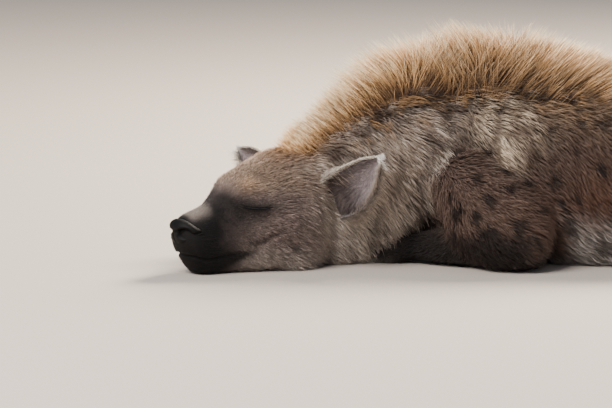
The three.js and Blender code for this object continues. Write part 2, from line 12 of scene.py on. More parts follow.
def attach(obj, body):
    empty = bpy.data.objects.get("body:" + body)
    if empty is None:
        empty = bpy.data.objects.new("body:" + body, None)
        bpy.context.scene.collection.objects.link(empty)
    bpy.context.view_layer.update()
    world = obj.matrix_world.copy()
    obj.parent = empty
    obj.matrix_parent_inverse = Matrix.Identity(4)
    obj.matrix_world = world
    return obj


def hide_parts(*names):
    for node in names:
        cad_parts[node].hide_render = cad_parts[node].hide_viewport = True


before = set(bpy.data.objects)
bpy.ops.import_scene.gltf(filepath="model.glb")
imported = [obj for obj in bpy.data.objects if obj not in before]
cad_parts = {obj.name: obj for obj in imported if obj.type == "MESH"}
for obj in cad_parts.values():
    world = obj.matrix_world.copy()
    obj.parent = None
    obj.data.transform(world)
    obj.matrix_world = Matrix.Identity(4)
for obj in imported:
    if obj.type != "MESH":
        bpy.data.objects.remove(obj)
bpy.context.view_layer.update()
mm = 0.001
rng = np.random.default_rng(20)
lowest = {"form": 1.0, "skin": 0.6, "hair": 0.5}  # the least heights over the floor
upAxis = np.array([0.0, 0.0, 1.0])


def unit(a):
    return a / np.maximum(np.linalg.norm(a, axis=-1, keepdims=True), 1e-9)


def smooth(low, high, x):
    s = np.clip((x - low) / (high - low), 0, 1)
    return s * s * (3 - 2 * s)


def slide(pair, t):
    return pair[0] + (pair[1] - pair[0]) * t


def through(*pairs):
    # a smooth curve through pairs of place and value
    xs = np.array([p[0] for p in pairs], float)
    ys = np.array([p[1] for p in pairs], float)
    slopes = np.gradient(ys)
    slopes[1:-1] = (ys[2:] - ys[:-2]) / (xs[2:] - xs[:-2])
    slopes[0] = (ys[1] - ys[0]) / (xs[1] - xs[0])
    slopes[-1] = (ys[-1] - ys[-2]) / (xs[-1] - xs[-2])

    def value(x):
        x = np.clip(np.asarray(x, float), xs[0], xs[-1])
        i = np.clip(np.searchsorted(xs, x) - 1, 0, len(xs) - 2)
        run = xs[i + 1] - xs[i]
        t = (x - xs[i]) / run
        ends = slopes[i] * run * t * (1 - t) ** 2 + slopes[i + 1] * run * t * t * (t - 1)
        return ys[i] + (ys[i + 1] - ys[i]) * t * t * (3 - 2 * t) + ends

    return value


def curveThrough(points):
    # a centripetal curve, as the solids' own
    pts = np.array(points, float)
    ext = np.vstack([2 * pts[0] - pts[1], pts, 2 * pts[-1] - pts[-2]])
    gaps = np.sqrt(np.linalg.norm(np.diff(ext, axis=0), axis=1))

    def at(t):
        s = np.clip(np.asarray(t, float), 0, 1) * (len(pts) - 1)
        i = np.minimum(s.astype(int), len(pts) - 2)
        w = (s - i)[..., None]
        a, b, c, d = ext[i], ext[i + 1], ext[i + 2], ext[i + 3]
        g0, g1, g2 = (gaps[i + k][..., None] for k in range(3))
        m1 = ((b - a) / g0 - (c - a) / (g0 + g1) + (c - b) / g1) * g1
        m2 = ((c - b) / g1 - (d - b) / (g1 + g2) + (d - c) / g2) * g1
        return b + m1 * w + (3 * (c - b) - 2 * m1 - m2) * w**2 + (2 * (b - c) + m1 + m2) * w**3

    return at


# Large odd numbers that stir the corners of the noise's cells.
noiseMix = {
    "steps": np.array((374761393, 668265263, 1440662683)), "seed": 97531, "stir": 1274126177,
    "bits": 0xFFFFFFFF, "low": 0xFFFF,
}


def softNoise(p, size, seed):
    # smooth noise from 0 to 1 at points p, with lumps of about the given size
    q = p / size
    cell = np.floor(q).astype(np.int64)
    f = q - cell
    f = f * f * (3 - 2 * f)
    total = np.zeros(len(p))
    for corner in product((0, 1), repeat=3):
        h = ((cell + corner) @ noiseMix["steps"] + seed * noiseMix["seed"]) & noiseMix["bits"]
        h = ((h ^ (h >> 13)) * noiseMix["stir"]) & noiseMix["bits"]
        h = ((h ^ (h >> 16)) & noiseMix["low"]) / noiseMix["low"]
        wx, wy, wz = np.where(corner, f, 1 - f).T
        total += h * wx * wy * wz
    return total


def tone(code):
    # the linear colour of a screen colour such as a0b0c0
    c = np.array([int(code[i : i + 2], 16) / 255 for i in (0, 2, 4)])
    return np.where(c <= 0.04045, c / 12.92, ((c + 0.055) / 1.055) ** 2.4)


# Forms. Each is swept along t from 0 to 1: a centre, a frame across and upward, and half widths
# and heights. Some have rounded ends, a fuller round and a push for hollows and swellings.
def domes(first, last, least=0.12):
    # rounded ends: the share of its full size that a form has near its start and its end
    def cap(t):
        a = np.sqrt(1 - (1 - np.clip(t / first, 0, 1)) ** 2) if first > 0 else 1.0
        b = np.sqrt(1 - (1 - np.clip((1 - t) / last, 0, 1)) ** 2)
        return np.maximum(least, a * b)

    return cap


def heading(centre, t, step=0.005):
    return unit(centre(np.clip(t + step, 0, 1)) - centre(np.clip(t - step, 0, 1)))


def curveFrame(centre, reference=upAxis):
    def frameAt(t):
        ahead = heading(centre, t)
        across = unit(np.cross(ahead, reference))
        return across, unit(np.cross(across, ahead))

    return frameAt


leastHalf = 1.5  # no form gets thinner than this


def ringPoints(form, t, angle, grow=0.0):
    # points round a form: angle 0 lies across it and a quarter turn is its top
    across, upward = form["frame"](t)
    side, up, down = form["size"](t)
    upFull, downFull = form.get("full", lambda t: (1.0, 1.0))(t)
    cap = form["cap"](t) if "cap" in form else 1.0
    wide, tall = np.cos(angle), np.sin(angle)
    width = np.sign(wide) * np.abs(wide) ** np.where(tall > 0, upFull, downFull)
    high = np.where(tall > 0, up, down)
    p = form["centre"](t)
    p = p + across * (width * np.maximum(side * cap + grow, leastHalf))[:, None]
    p = p + upward * (tall * np.maximum(high * cap + grow, leastHalf))[:, None]
    return form["push"](p, t) if "push" in form else p


# Torso: its span runs from chest to rump, and "under" is the share of its depth below the centre.
# Each push has a place, a reach and the way it goes outward.
torso = {"span": (-215, 592), "under": 0.42}
torsoTop = through(
    (-215, 214), (-180, 262), (-120, 300), (-40, 321), (60, 314), (200, 294),
    (340, 280), (450, 266), (520, 238), (565, 196), (592, 160),
)
torsoBottom = through(
    (-215, 110), (-180, 52), (-120, 10), (-60, -16), (400, -16), (480, -8), (545, 22), (592, 116),
)
torsoHalf = through(
    (-215, 40), (-180, 84), (-120, 120), (-40, 148), (80, 163), (250, 170),
    (380, 156), (480, 138), (550, 96), (592, 26),
)
torsoPushes = [
    ((-62, 112, 240), 62, 9), ((70, 150, 190), 70, -9),
    ((180, 160, 130), 90, 6), ((318, 128, 225), 62, -10),
]


def pushTorso(p, t):
    p = p.copy()
    for (x, y, z), reach, by in torsoPushes:
        far = np.sqrt((p[:, 0] - x) ** 2 + (np.abs(p[:, 1]) - y) ** 2 + (p[:, 2] - z) ** 2) / reach
        p[:, 1] *= 1 + (by / y) * np.exp(-far * far)
    return p


def torsoCentre(t):
    x = slide(torso["span"], t)
    low, high = torsoBottom(x), torsoTop(x)
    return np.stack([x, 0 * x, low + (high - low) * torso["under"]], -1)


def torsoSize(t):
    x = slide(torso["span"], t)
    deep = torsoTop(x) - torsoBottom(x)
    return torsoHalf(x), deep * (1 - torso["under"]), deep * torso["under"]


def straightFrame(across):
    def frameAt(t):
        n = len(np.atleast_1d(t))
        return np.tile(across, (n, 1)), np.tile(upAxis, (n, 1))

    return frameAt


torsoForm = {
    "centre": torsoCentre, "frame": straightFrame(np.array([0.0, 1.0, 0.0])), "size": torsoSize,
    "full": lambda t: (1.12, 0.72), "push": pushTorso,
}

# Head: x runs back from the tip of the nose, y to the hyena's left and z up from the floor.
head = {"nose": (-587, -232, 0), "turn": math.radians(35), "span": (11, 292), "eye": (129, 113)}
headBack = np.array([math.cos(head["turn"]), math.sin(head["turn"]), 0.0])
headLeft = np.array([math.sin(head["turn"]), -math.cos(head["turn"]), 0.0])
noseTip = np.array(head["nose"], float)
headTop = through(
    (11, 72), (15, 86), (19, 95), (25, 101), (38, 107), (62, 115), (78, 125), (97, 145),
    (122, 164), (150, 178), (170, 186), (192, 193), (212, 198), (240, 199), (268, 188), (292, 165),
)
headBottom = through(
    (11, 54), (15, 44), (22, 33), (31, 18), (41, 4), (52, -5), (72, -8), (225, -7), (258, 2), (292, 34),
)
headHalf = through(
    (11, 14), (15, 22), (20, 28), (27, 34), (38, 38), (60, 43), (85, 48), (105, 56),
    (125, 68), (150, 82), (180, 92), (210, 95), (240, 90), (268, 78), (292, 55),
)
headPushes = [
    ((122, 58, 117), 18, -8), ((118, 44, 146), 20, 8), ((96, 0, 136), 18, -4), ((158, 84, 96), 34, 5),
    ((168, 58, 158), 24, -6), ((36, 36, 50), 19, 5), ((78, 46, 78), 22, -5), ((205, 0, 205), 28, 5),
]


def onHead(x, y, z):
    # the place in the model of a place on the head
    x, y, z = (np.asarray(value)[..., None] for value in (x, y, z))
    return noseTip + x * headBack + y * headLeft + z * upAxis


def toHead(p):
    q = p - noseTip
    return np.stack([q @ headBack, q @ headLeft, p[:, 2]], -1)


def headMiddle(x):
    return (headTop(x) + headBottom(x)) / 2


def pushHead(p, t):
    x, y, z = toHead(p).T
    out = unit(np.stack([0 * x, y, z - headMiddle(x)], -1))
    push = 0
    for (px, py, pz), reach, by in headPushes:
        far = ((x - px) ** 2 + (np.abs(y) - py) ** 2 + (z - pz) ** 2) / reach**2
        push = push + by * np.exp(-far)
    return p + headLeft * (out[:, 1] * push)[:, None] + upAxis * (out[:, 2] * push)[:, None]


def headCentre(t):
    x = slide(head["span"], t)
    return onHead(x, 0, headMiddle(x))


def headSize(t):
    x = slide(head["span"], t)
    tall = (headTop(x) - headBottom(x)) / 2
    return headHalf(x), tall, tall


headForm = {
    "centre": headCentre, "frame": straightFrame(headLeft), "size": headSize, "push": pushHead,
    "full": lambda t: (0.95 + 0.15 * np.minimum(1, slide(head["span"], t) / 150), 0.8),
}

# Ears: a cup that narrows to a rounded tip.
earLength = 118


def earForm(side, rootAt, aimAt, openTo):
    def direction(x, y, z):
        return unit(x * headBack + side * y * headLeft + z * upAxis)

    aim = direction(*aimAt)
    facing = direction(*openTo)
    opening = unit(facing - aim * (facing @ aim))
    curl = through((0, 0), (0.5, -9), (1, -2))
    rise = through((0, -4), (0.45, -7), (0.8, -2), (1, 0))
    root = onHead(rootAt[0], side * rootAt[1], rootAt[2])
    wide = np.cross(opening, aim)
    upward = wide * np.sign(wide[2])

    def centre(t):
        p = root + aim * (t * earLength)[:, None]
        return p + opening * curl(t)[:, None] + upward * rise(t)[:, None]

    return {
        "centre": centre, "aim": aim, "opening": opening, "wide": wide,
        "half": through((0, 36), (0.2, 42), (0.45, 39), (0.7, 28), (0.88, 15), (1, 5)),
        "cup": through((0, 22), (0.3, 24), (0.6, 16), (0.85, 8), (1, 2.5)),
        "wall": through((0, 11), (0.4, 7), (1, 5)),
    }


ears = {
    "left": earForm(1, (254, 88, 118), (56, 70, 70), (-0.8, 0.54, 0.1)),
    "right": earForm(-1, (248, 84, 126), (15, 104, 46), (-1, 0.12, 0.04)),
}

neckCentre = curveThrough([
    onHead(225, 0, 104), (-338, -74, 122), (-268, -44, 152), (-204, -18, 184), (-150, -6, 202),
    (-104, 0, 208),
])
neckSide = through((0, 60), (0.2, 84), (0.4, 99), (0.62, 107), (0.82, 94), (1, 72))
neckUp = through((0, 66), (0.2, 92), (0.45, 106), (0.7, 106), (0.88, 98), (1, 84))
neckDown = through((0, 92), (0.2, 124), (0.42, 130), (0.65, 120), (0.88, 108), (1, 92))


earHollow = {"at": np.array([0.15]), "reach": 48, "deep": 15}  # where the neck makes room for an ear


def pushNeck(p, t):
    inward = unit(neckCentre(t) - p)
    for form in ears.values():
        far = np.linalg.norm(p - form["centre"](earHollow["at"]), axis=1) / earHollow["reach"]
        p = p + inward * (earHollow["deep"] * np.exp(-far * far))[:, None]
    return p


neckForm = {
    "centre": neckCentre, "frame": curveFrame(neckCentre), "cap": domes(0.12, 0.16), "push": pushNeck,
    "size": lambda t: (neckSide(t), neckUp(t), neckDown(t)), "full": lambda t: (1.05, 0.9),
}


def limbForm(points, radii, flat=1.0):
    centre = curveThrough(points)
    radius = through(*radii)
    return {
        "centre": centre, "frame": curveFrame(centre), "cap": domes(0.16, 0.16),
        "size": lambda t: (radius(t) * flat, radius(t), radius(t)),
    }


limbRadii = {
    "upper_arm": [(0, 50), (0.28, 68), (0.62, 78), (1, 60)],
    "forearm": [(0, 40), (0.25, 39), (0.6, 33), (1, 28)],
    "fore_paw": [(0, 27), (0.5, 28), (1, 22)],
    "thigh": [(0, 74), (0.35, 92), (0.7, 82), (1, 58)],
    "shank": [(0, 42), (0.3, 38), (0.7, 27), (1, 24)],
    "hind_paw": [(0, 25), (0.4, 22), (0.8, 24), (1, 21)],
}
legPoints = {
    "left": {
        "upper_arm": [(-108, -72, 178), (-88, -108, 134), (-54, -142, 88), (-8, -154, 56), (36, -152, 44)],
        "forearm": [(14, -150, 40), (-62, -138, 34), (-138, -106, 31), (-184, -82, 28)],
        "fore_paw": [(-170, -87, 26), (-216, -66, 25), (-248, -52, 22)],
        "foreAim": (-1, 0.3, 0),
    },
    "right": {
        "upper_arm": [(-108, 72, 178), (-86, 108, 134), (-48, 142, 88), (0, 154, 56), (44, 150, 44)],
        "forearm": [(26, 148, 40), (-50, 140, 34), (-130, 122, 31), (-188, 108, 28)],
        "fore_paw": [(-174, 111, 26), (-224, 99, 25), (-262, 92, 22)],
        "foreAim": (-1, -0.16, 0),
    },
}
for side, s in (("left", -1), ("right", 1)):
    legPoints[side].update({
        "thigh": [(490, s * 66, 178), (440, s * 98, 158), (370, s * 128, 126), (316, s * 142, 98)],
        "shank": [(318, s * 156, 78), (380, s * 168, 66), (440, s * 172, 52), (486, s * 170, 40)],
        "hind_paw": [(500, s * 172, 26), (440, s * 186, 24), (372, s * 192, 22), (330, s * 194, 20)],
        "hindAim": (-1, s * 0.04, 0),
    })

# Toes: points ahead of the paw's end and their heights, and the same for the claws.
toe = {
    "spread": 16, "reach": 52, "outerShorter": 12, "splay": 0.07,
    "line": [(-74, 20), (-44, 24), (-22, 20), (0, 12)],
    "radii": [(0, 10), (0.4, 12), (0.75, 12), (1, 10)],
    "clawLine": [(-10, 17), (2, 17), (12, 12.5), (17, 7)],
    "clawRadii": [(0, 4.6), (0.5, 4.2), (1, 1.3)],
}


def toeForms(paw, aim):
    # four toes and the four claws in front of them
    aim = unit(np.array(aim, float))
    across = unit(np.cross(upAxis, aim))
    toes, claws = [], []
    for place in (-1.5, -0.5, 0.5, 1.5):
        reach = toe["reach"] - (toe["outerShorter"] if abs(place) > 1 else 0)
        own = unit(aim + across * place * toe["splay"])
        start = np.array(paw[-1], float) + across * place * toe["spread"]

        def placed(line):
            return [(*(start + own * (reach + ahead))[:2], height) for ahead, height in line]

        toes.append(limbForm(placed(toe["line"]), toe["radii"]))
        claw = limbForm(placed(toe["clawLine"]), toe["clawRadii"])
        del claw["cap"]
        claws.append(claw)
    return toes, claws


tailCentre = curveThrough([
    (556, 0, 204), (618, -4, 166), (664, -20, 104), (682, -56, 54), (676, -104, 32), (646, -154, 26),
])
tailRadius = through((0, 36), (0.3, 29), (0.6, 27), (1, 24))
tailForm = {
    "centre": tailCentre, "frame": curveFrame(tailCentre, unit(np.array([1, 0, 1.4]))),
    "size": lambda t: (tailRadius(t),) * 3, "cap": domes(0, 0.13),
}

# Every form of flesh with its coat: how deep it lies and how long its hair is at the form's start and
# end, then the hair's width, its lift from the skin in degrees, and the spacing of the tufts.
groom = {
    "torso": dict(form=torsoForm, depth=(12, 12), length=(36, 31), width=1.7, lift=22, spacing=3.5),
    "head": dict(form=headForm, depth=(1.2, 9), length=(3.5, 26), width=1.0, lift=20, spacing=1.9),
    "neck": dict(form=neckForm, depth=(10, 13), length=(30, 44), width=1.5, lift=19, spacing=2.9),
    "tail": dict(form=tailForm, depth=(10, 12), length=(34, 60), width=2.4, lift=18, spacing=3.4),
}
limbGroom = {
    "upper_arm": dict(depth=(9, 7), length=(27, 20), width=1.5, lift=19, spacing=3.1),
    "forearm": dict(depth=(5, 4), length=(13, 11), width=1.3, lift=18, spacing=2.8),
    "fore_paw": dict(depth=(3, 2.2), length=(8, 6), width=0.9, lift=18, spacing=1.9),
    "thigh": dict(depth=(10, 8), length=(29, 23), width=1.8, lift=20, spacing=3.7),
    "shank": dict(depth=(6, 4), length=(17, 12), width=1.4, lift=18, spacing=3.1),
    "hind_paw": dict(depth=(3.5, 2.2), length=(8, 6), width=0.9, lift=18, spacing=2.0),
}
toeGroom = dict(depth=(2.2, 1.6), length=(8, 5))
pawFlat = 1.18  # how much wider than high a paw is
clawForms = {}
for side, points in legPoints.items():
    for name, values in limbGroom.items():
        isPaw = name.endswith("paw")
        form = limbForm(points[name], limbRadii[name], pawFlat if isPaw else 1.0)
        groom[f"{name}_{side}"] = dict(values, form=form)
        if isPaw:
            end = name[:4]
            toes, clawForms[f"{end}_{side}"] = toeForms(points[name], points[f"{end}Aim"])
            for i, form in enumerate(toes):
                groom[f"toe_{end}_{side}_{i}"] = dict(values, form=form, **toeGroom)
names = list(groom)


def coords(mesh):
    co = np.empty(len(mesh.vertices) * 3, np.float32)
    mesh.vertices.foreach_get("co", co)
    return co.reshape(-1, 3).astype(float)


def setCoords(mesh, co):
    mesh.vertices.foreach_set("co", co.astype(np.float32).ravel())
    mesh.update()


def ballMesh(around, lengthwise):
    bm = bmesh.new()
    bmesh.ops.create_uvsphere(bm, u_segments=around, v_segments=lengthwise, radius=1)
    mesh = bpy.data.meshes.new("ball")
    bm.to_mesh(mesh)
    bm.free()
    return mesh


def copyOf(mesh):
    bm = bmesh.new()
    bm.from_mesh(mesh)
    return bm


def sweepMesh(bm, form, ball, depth=(0, 0)):
    # a copy of the ball, with each of its points moved onto the form
    mesh = ball.copy()
    place = coords(mesh)
    t = np.arccos(np.clip(-place[:, 2], -1, 1)) / math.pi
    p = ringPoints(form, t, np.arctan2(place[:, 1], place[:, 0]), -slide(depth, t))
    pole = np.hypot(place[:, 0], place[:, 1]) < 1e-4
    p[pole] = form["centre"](t[pole])
    p[:, 2] = np.maximum(p[:, 2], lowest["form"])
    setCoords(mesh, p * mm)
    bm.from_mesh(mesh)
    bpy.data.meshes.remove(mesh)


def pieceOf(name, mesh):
    mesh.polygons.foreach_set("use_smooth", np.ones(len(mesh.polygons), bool))
    piece = bpy.data.objects.new(name, mesh)
    bpy.context.scene.collection.objects.link(piece)
    return piece


def finishMesh(bm, name):
    bmesh.ops.recalc_face_normals(bm, faces=bm.faces)
    mesh = bpy.data.meshes.new(name)
    bm.to_mesh(mesh)
    bm.free()
    return pieceOf(name, mesh)


def applied(piece):
    # the same object with its modifiers made part of its mesh
    graph = bpy.context.evaluated_depsgraph_get()
    mesh = bpy.data.meshes.new_from_object(piece.evaluated_get(graph))
    piece.modifiers.clear()
    piece.data = mesh
    return piece


# Skin: all the forms joined, made one surface, smoothed, and finer over the face.
skinShape = {
    "voxel": 5.2, "rounds": 7, "around": 64, "lengthwise": 64, "finer": (150, 110), "finerSide": 100,
    "joinShare": 2.2, "joinRounds": 70, "joinSteps": 10,
}


def makeSkin():
    bm = bmesh.new()
    ball = ballMesh(skinShape["around"], skinShape["lengthwise"])
    for values in groom.values():
        sweepMesh(bm, values["form"], ball, values["depth"])
    piece = finishMesh(bm, "skin")
    remesh = piece.modifiers.new("oneSurface", "REMESH")
    remesh.mode = "VOXEL"
    remesh.voxel_size = skinShape["voxel"] * mm
    relax = piece.modifiers.new("relax", "SMOOTH")
    relax.factor = 0.5
    relax.iterations = skinShape["rounds"]
    applied(piece)
    bm = copyOf(piece.data)
    for reach in skinShape["finer"]:  # finer over the muzzle and eyes
        q = toHead(np.array([v.co for v in bm.verts]) / mm)
        near = (q[:, 0] < reach) & (q[:, 0] > -20) & (np.abs(q[:, 1]) < skinShape["finerSide"])
        edges = [e for e in bm.edges if near[e.verts[0].index] and near[e.verts[1].index]]
        bmesh.ops.subdivide_edges(bm, edges=edges, cuts=1, use_grid_fill=True)
        bm.verts.index_update()
        bm.verts.ensure_lookup_table()
    bmesh.ops.triangulate(bm, faces=[f for f in bm.faces if len(f.verts) > 4])
    bm.to_mesh(piece.data)
    bm.free()
    return piece


# The form of the nose's pad, how deep and wide its nostrils, their slits and the groove are, and the
# depths over which the carved places are painted darker, as painted shade.
nose = {
    "span": (5, 40), "height": (77, 73), "colour": "070606", "front": 26, "dark": (1.5, 4.5),
    "nostril": 7.5, "hole": (21, 72), "holeWide": 1.15, "holeEdge": (12, 6.5),
    "slit": 3.4, "slitHalf": 3.0, "slitLine": [(16, 25, 70), (22, 32, 69), (30, 37, 72), (39, 39, 77)],
    "groove": 1.6, "grooveHalf": 1.6, "grooveTop": (82, 70),
}
noseSide = through((0, 11), (0.1, 19), (0.25, 26), (0.5, 33), (0.8, 37.5), (1, 38.5))
noseUp = through((0, 7), (0.1, 13), (0.25, 18), (0.5, 19), (0.8, 13), (1, 8))
noseDown = through((0, 9), (0.1, 17), (0.25, 22), (0.5, 19), (0.8, 12), (1, 7))
noseForm = {
    "centre": lambda t: onHead(slide(nose["span"], t), 0, slide(nose["height"], t)),
    "frame": straightFrame(headLeft), "full": lambda t: (0.85, 0.85),
    "size": lambda t: (noseSide(t), noseUp(t), noseDown(t)),
}


# The place on the head's outer surface at a distance back and a height, and the directions there.
def headPlace(x, z, side, halvings=22):
    x, z = np.broadcast_arrays(np.atleast_1d(np.asarray(x, float)), np.asarray(z, float))
    front, back = head["span"]
    t = (x - front) / (back - front)
    low, high = np.full(x.shape, -math.pi / 2), np.full(x.shape, math.pi / 2)
    for _ in range(halvings):
        middle = (low + high) / 2
        above = ringPoints(headForm, t, middle)[:, 2] > z
        high = np.where(above, middle, high)
        low = np.where(above, low, middle)
    y = (ringPoints(headForm, t, low) - noseTip) @ headLeft
    return onHead(x, side * y, z)


def headPlaceFrame(x, z, side, step=9):
    back = unit(headPlace(x + step, z, side) - headPlace(x - step, z, side))
    rise = unit(headPlace(x, z + step, side) - headPlace(x, z - step, side))
    out = unit(np.cross(back, rise) * side)
    return headPlace(x, z, side), back, unit(np.cross(out, back) * side), out


# Mouth: a soft groove along the lips, carried a little past the corner as a crease.
mouth = {
    "heights": [(150, 50), (136, 41), (104, 35), (76, 31), (54, 28), (38, 29), (29, 32)],
    "middle": (21, 34), "deep": 4.0, "half": 2.4, "flat": 1.5,
}
mouthPoints = [headPlace(x, z, -1)[0] for x, z in mouth["heights"]]
mouthPoints.append(onHead(mouth["middle"][0], 0, mouth["middle"][1]))
mouthPoints += [headPlace(x, z, 1)[0] for x, z in reversed(mouth["heights"])]
mouthLine = curveThrough(mouthPoints)(np.linspace(0, 1, 400))


farAway = 99.0  # stands for any distance that needs no exact value


def nearest(points, line, margin=30, batch=4000):
    # the distance of each point from a line of points, worked out exactly only near the line
    far = np.full(len(points), farAway)
    box = np.all((points > line.min(0) - margin) & (points < line.max(0) + margin), axis=1)
    for part in np.array_split(np.nonzero(box)[0], 1 + box.sum() // batch):
        if len(part):
            far[part] = np.linalg.norm(points[part][:, None] - line[None], axis=2).min(1)
    return far


def skinNormals(mesh):
    n = np.empty(len(mesh.vertices) * 3, np.float32)
    mesh.vertex_normals.foreach_get("vector", n)
    return n.reshape(-1, 3).astype(float)


# Folds of the face: the line of each on the head (x back, z up), half its width beside a flat floor,
# and how deep it goes.
folds = [
    {"line": [(128, 48), (142, 57), (154, 67)], "half": 3.5, "deep": 2.4},  # behind the mouth's corner
    {"line": [(100, 122), (112, 131), (128, 134), (146, 130)], "half": 2.6, "deep": 2.0},  # over the eye
    {"line": [(108, 96), (128, 92), (148, 98)], "half": 3.0, "deep": 1.2},  # under the eye
    {"line": [(62, 96), (66, 106), (72, 114)], "half": 3.0, "deep": 0.8},  # on the muzzle
    {"line": [(84, 98), (88, 108), (92, 118)], "half": 3.0, "deep": 0.8},
]
foldFlat = 4  # half the width of a fold's floor
faceArea = {"back": 200, "side": 110}  # the part of the head that is carved


def carveFace(piece):
    co = coords(piece.data) / mm
    normals = skinNormals(piece.data)
    q = toHead(co)
    ahead = (q[:, 0] < faceArea["back"]) & (q[:, 0] > -10)
    face = np.nonzero(ahead & (np.abs(q[:, 1]) < faceArea["side"]))[0]
    depth = np.zeros(len(co))
    far = np.maximum(nearest(co[face], mouthLine) - mouth["flat"], 0) / mouth["half"]
    depth[face] += mouth["deep"] * np.exp(-(far**2))
    for fold in folds:
        for side in (-1, 1):
            points = [headPlace(x, z, side)[0] for x, z in fold["line"]]
            line = curveThrough(points)(np.linspace(0, 1, 60))
            far = np.maximum(nearest(co[face], line) - foldFlat, 0) / fold["half"]
            depth[face] += fold["deep"] * np.exp(-far * far)
    co -= normals * depth[:, None]
    co[:, 2] = np.maximum(co[:, 2], lowest["skin"])
    setCoords(piece.data, co * mm)


# Where each point of the skin belongs: the share of every form in it, and its place along each form.
owned = {"steps": 36, "reach": 1.6, "soft": 0.1, "batch": 20000}


def belonging(points):
    steps = np.linspace(0.01, 0.99, owned["steps"])
    ratios = np.full((len(points), len(names)), 9.0)
    along = np.zeros((len(points), len(names)))
    for k, name in enumerate(names):
        form = groom[name]["form"]
        centres = form["centre"](steps)
        side, up, down = form["size"](steps)
        radius = (side + np.maximum(up, down)) / 2
        low = centres.min(0) - radius.max() * owned["reach"]
        high = centres.max(0) + radius.max() * owned["reach"]
        near = np.nonzero(np.all((points > low) & (points < high), axis=1))[0]
        for part in np.array_split(near, max(1, len(near) // owned["batch"])):
            if len(part) == 0:
                continue
            d = np.linalg.norm(points[part][:, None] - centres[None], axis=2) / radius
            best = d.argmin(1)
            ratios[part, k] = d[np.arange(len(part)), best]
            along[part, k] = steps[best]
    weights = np.exp(-(ratios - ratios.min(1, keepdims=True)) / owned["soft"])
    return weights / weights.sum(1, keepdims=True), along


def softenJoins(piece):
    # limbs run softly into the body, and the jaw into the neck
    own, _ = belonging(coords(piece.data) / mm)
    joined = np.clip((1 - own.max(1)) * skinShape["joinShare"], 0, 1)
    x = toHead(coords(piece.data) / mm)[:, 0]
    joined *= smooth(130, 190, x)
    group = piece.vertex_groups.new(name="joins")
    steps = skinShape["joinSteps"]
    for level in range(1, steps + 1):
        members = np.nonzero(np.ceil(joined * steps) == level)[0]
        group.add(members.tolist(), level / steps, "REPLACE")
    soften = piece.modifiers.new("soften", "SMOOTH")
    soften.factor = 0.5
    soften.iterations = skinShape["joinRounds"]
    soften.vertex_group = "joins"
    applied(piece)


# The throat and jowl settle by some millimetres, so that they rest on the floor.
settled = {"by": 18, "height": (70, 15), "front": (-420, -370), "behind": (-190, -240), "within": 240}


def settleThroat(p):
    x, y, z = p.T.copy()
    share = smooth(*settled["height"], z) * smooth(*settled["front"], x) * smooth(*settled["behind"], x)
    p[:, 2] = np.maximum(z - settled["by"] * share * (np.abs(y) < settled["within"]), lowest["skin"])


print("stage: skin")
skin = makeSkin()
softenJoins(skin)
carveFace(skin)
skinPoints = coords(skin.data) / mm
settleThroat(skinPoints)
setCoords(skin.data, skinPoints * mm)
skinOut = skinNormals(skin.data)
print("skin points", len(skinPoints))

print("stage: lie of the coat")
shares, along = belonging(skinPoints)
softShares = shares**0.45
softShares /= softShares.sum(1, keepdims=True)
torsoDrop = through((0, 12), (60, 30), (150, 52), (250, 40), (320, 12))  # degrees, by height
headRise = through((0, -0.5), (60, -0.35), (110, -0.1), (150, 0.25), (200, 0.2))


def aimOf(name, points, t):
    # the way that the hair points from root to tip, before it is laid on the skin
    if name == "torso":
        drop = np.radians(torsoDrop(points[:, 2]))
        return np.stack([np.cos(drop), 0 * drop, -np.sin(drop)], -1)
    if name == "head":
        y, z = toHead(points)[:, 1:].T
        side = np.sign(y) * smooth(6, 60, np.abs(y))
        return headBack + headLeft * side[:, None] * 0.35 + upAxis * headRise(z)[:, None]
    ahead = heading(groom[name]["form"]["centre"], t, 0.02)
    if name == "neck":
        return ahead * 0.4 + np.array([0.2, 0, -0.85])
    if name.startswith("upper_arm"):
        return ahead * 0.3 + np.array([0.8, 0, -0.4])
    if name.startswith("thigh"):
        return np.array([0.8, 0, -0.6]) + 0 * ahead
    return ahead + np.array([0, 0, -0.25])


# At each point of the skin: the way that the hair lies, and its length, width, lift and spacing.
lie = np.zeros_like(skinPoints)
hair = {key: np.zeros(len(skinPoints)) for key in ("length", "width", "lift", "spacing")}
for k, name in enumerate(names):
    w = shares[:, k]
    lie += unit(aimOf(name, skinPoints, along[:, k])) * softShares[:, k][:, None]
    hair["length"] += w * slide(groom[name]["length"], along[:, k])
    for key in ("width", "lift", "spacing"):
        hair[key] += w * groom[name][key]
lie -= skinOut * (lie * skinOut).sum(1, keepdims=True)
lie = unit(lie)


def partOf(name):
    return shares[:, names.index(name)]


# The face's own hair by the distance from the nose, and how much longer the hair is in some places.
faceHair = {
    "length": through((0, 2.8), (50, 4), (95, 6.5), (130, 9.5), (165, 13.5), (220, 21), (290, 31)),
    "width": through((0, 0.5), (90, 0.75), (150, 0.95), (220, 1.25), (290, 1.5)),
    "spacing": through((0, 1.2), (90, 1.5), (150, 1.85), (200, 2.2), (290, 2.8)),
}
longer = {"jowl": 14, "ruff": 18, "fringe": 24, "armRear": 16}
faceX = toHead(skinPoints)[:, 0]
for key, curve in faceHair.items():
    hair[key] += partOf("head") * (curve(faceX) - hair[key])
jowl = partOf("head") * smooth(150, 210, faceX) * smooth(110, 50, skinPoints[:, 2])
hair["length"] += longer["jowl"] * jowl


# Ruff: longer, paler hair that hangs over the fold between neck and shoulder. The fold has places (x, z).
ruff = {
    "fold": [(-176, 262), (-142, 192), (-152, 144), (-184, 98), (-212, 74)], "lift": 7,
    "front": (-58, -6), "behind": (12, 2), "side": (30, 70), "top": (285, 215),
}
foldLine = curveThrough([(x, 0, z) for x, z in ruff["fold"]])(np.linspace(0, 1, 80))


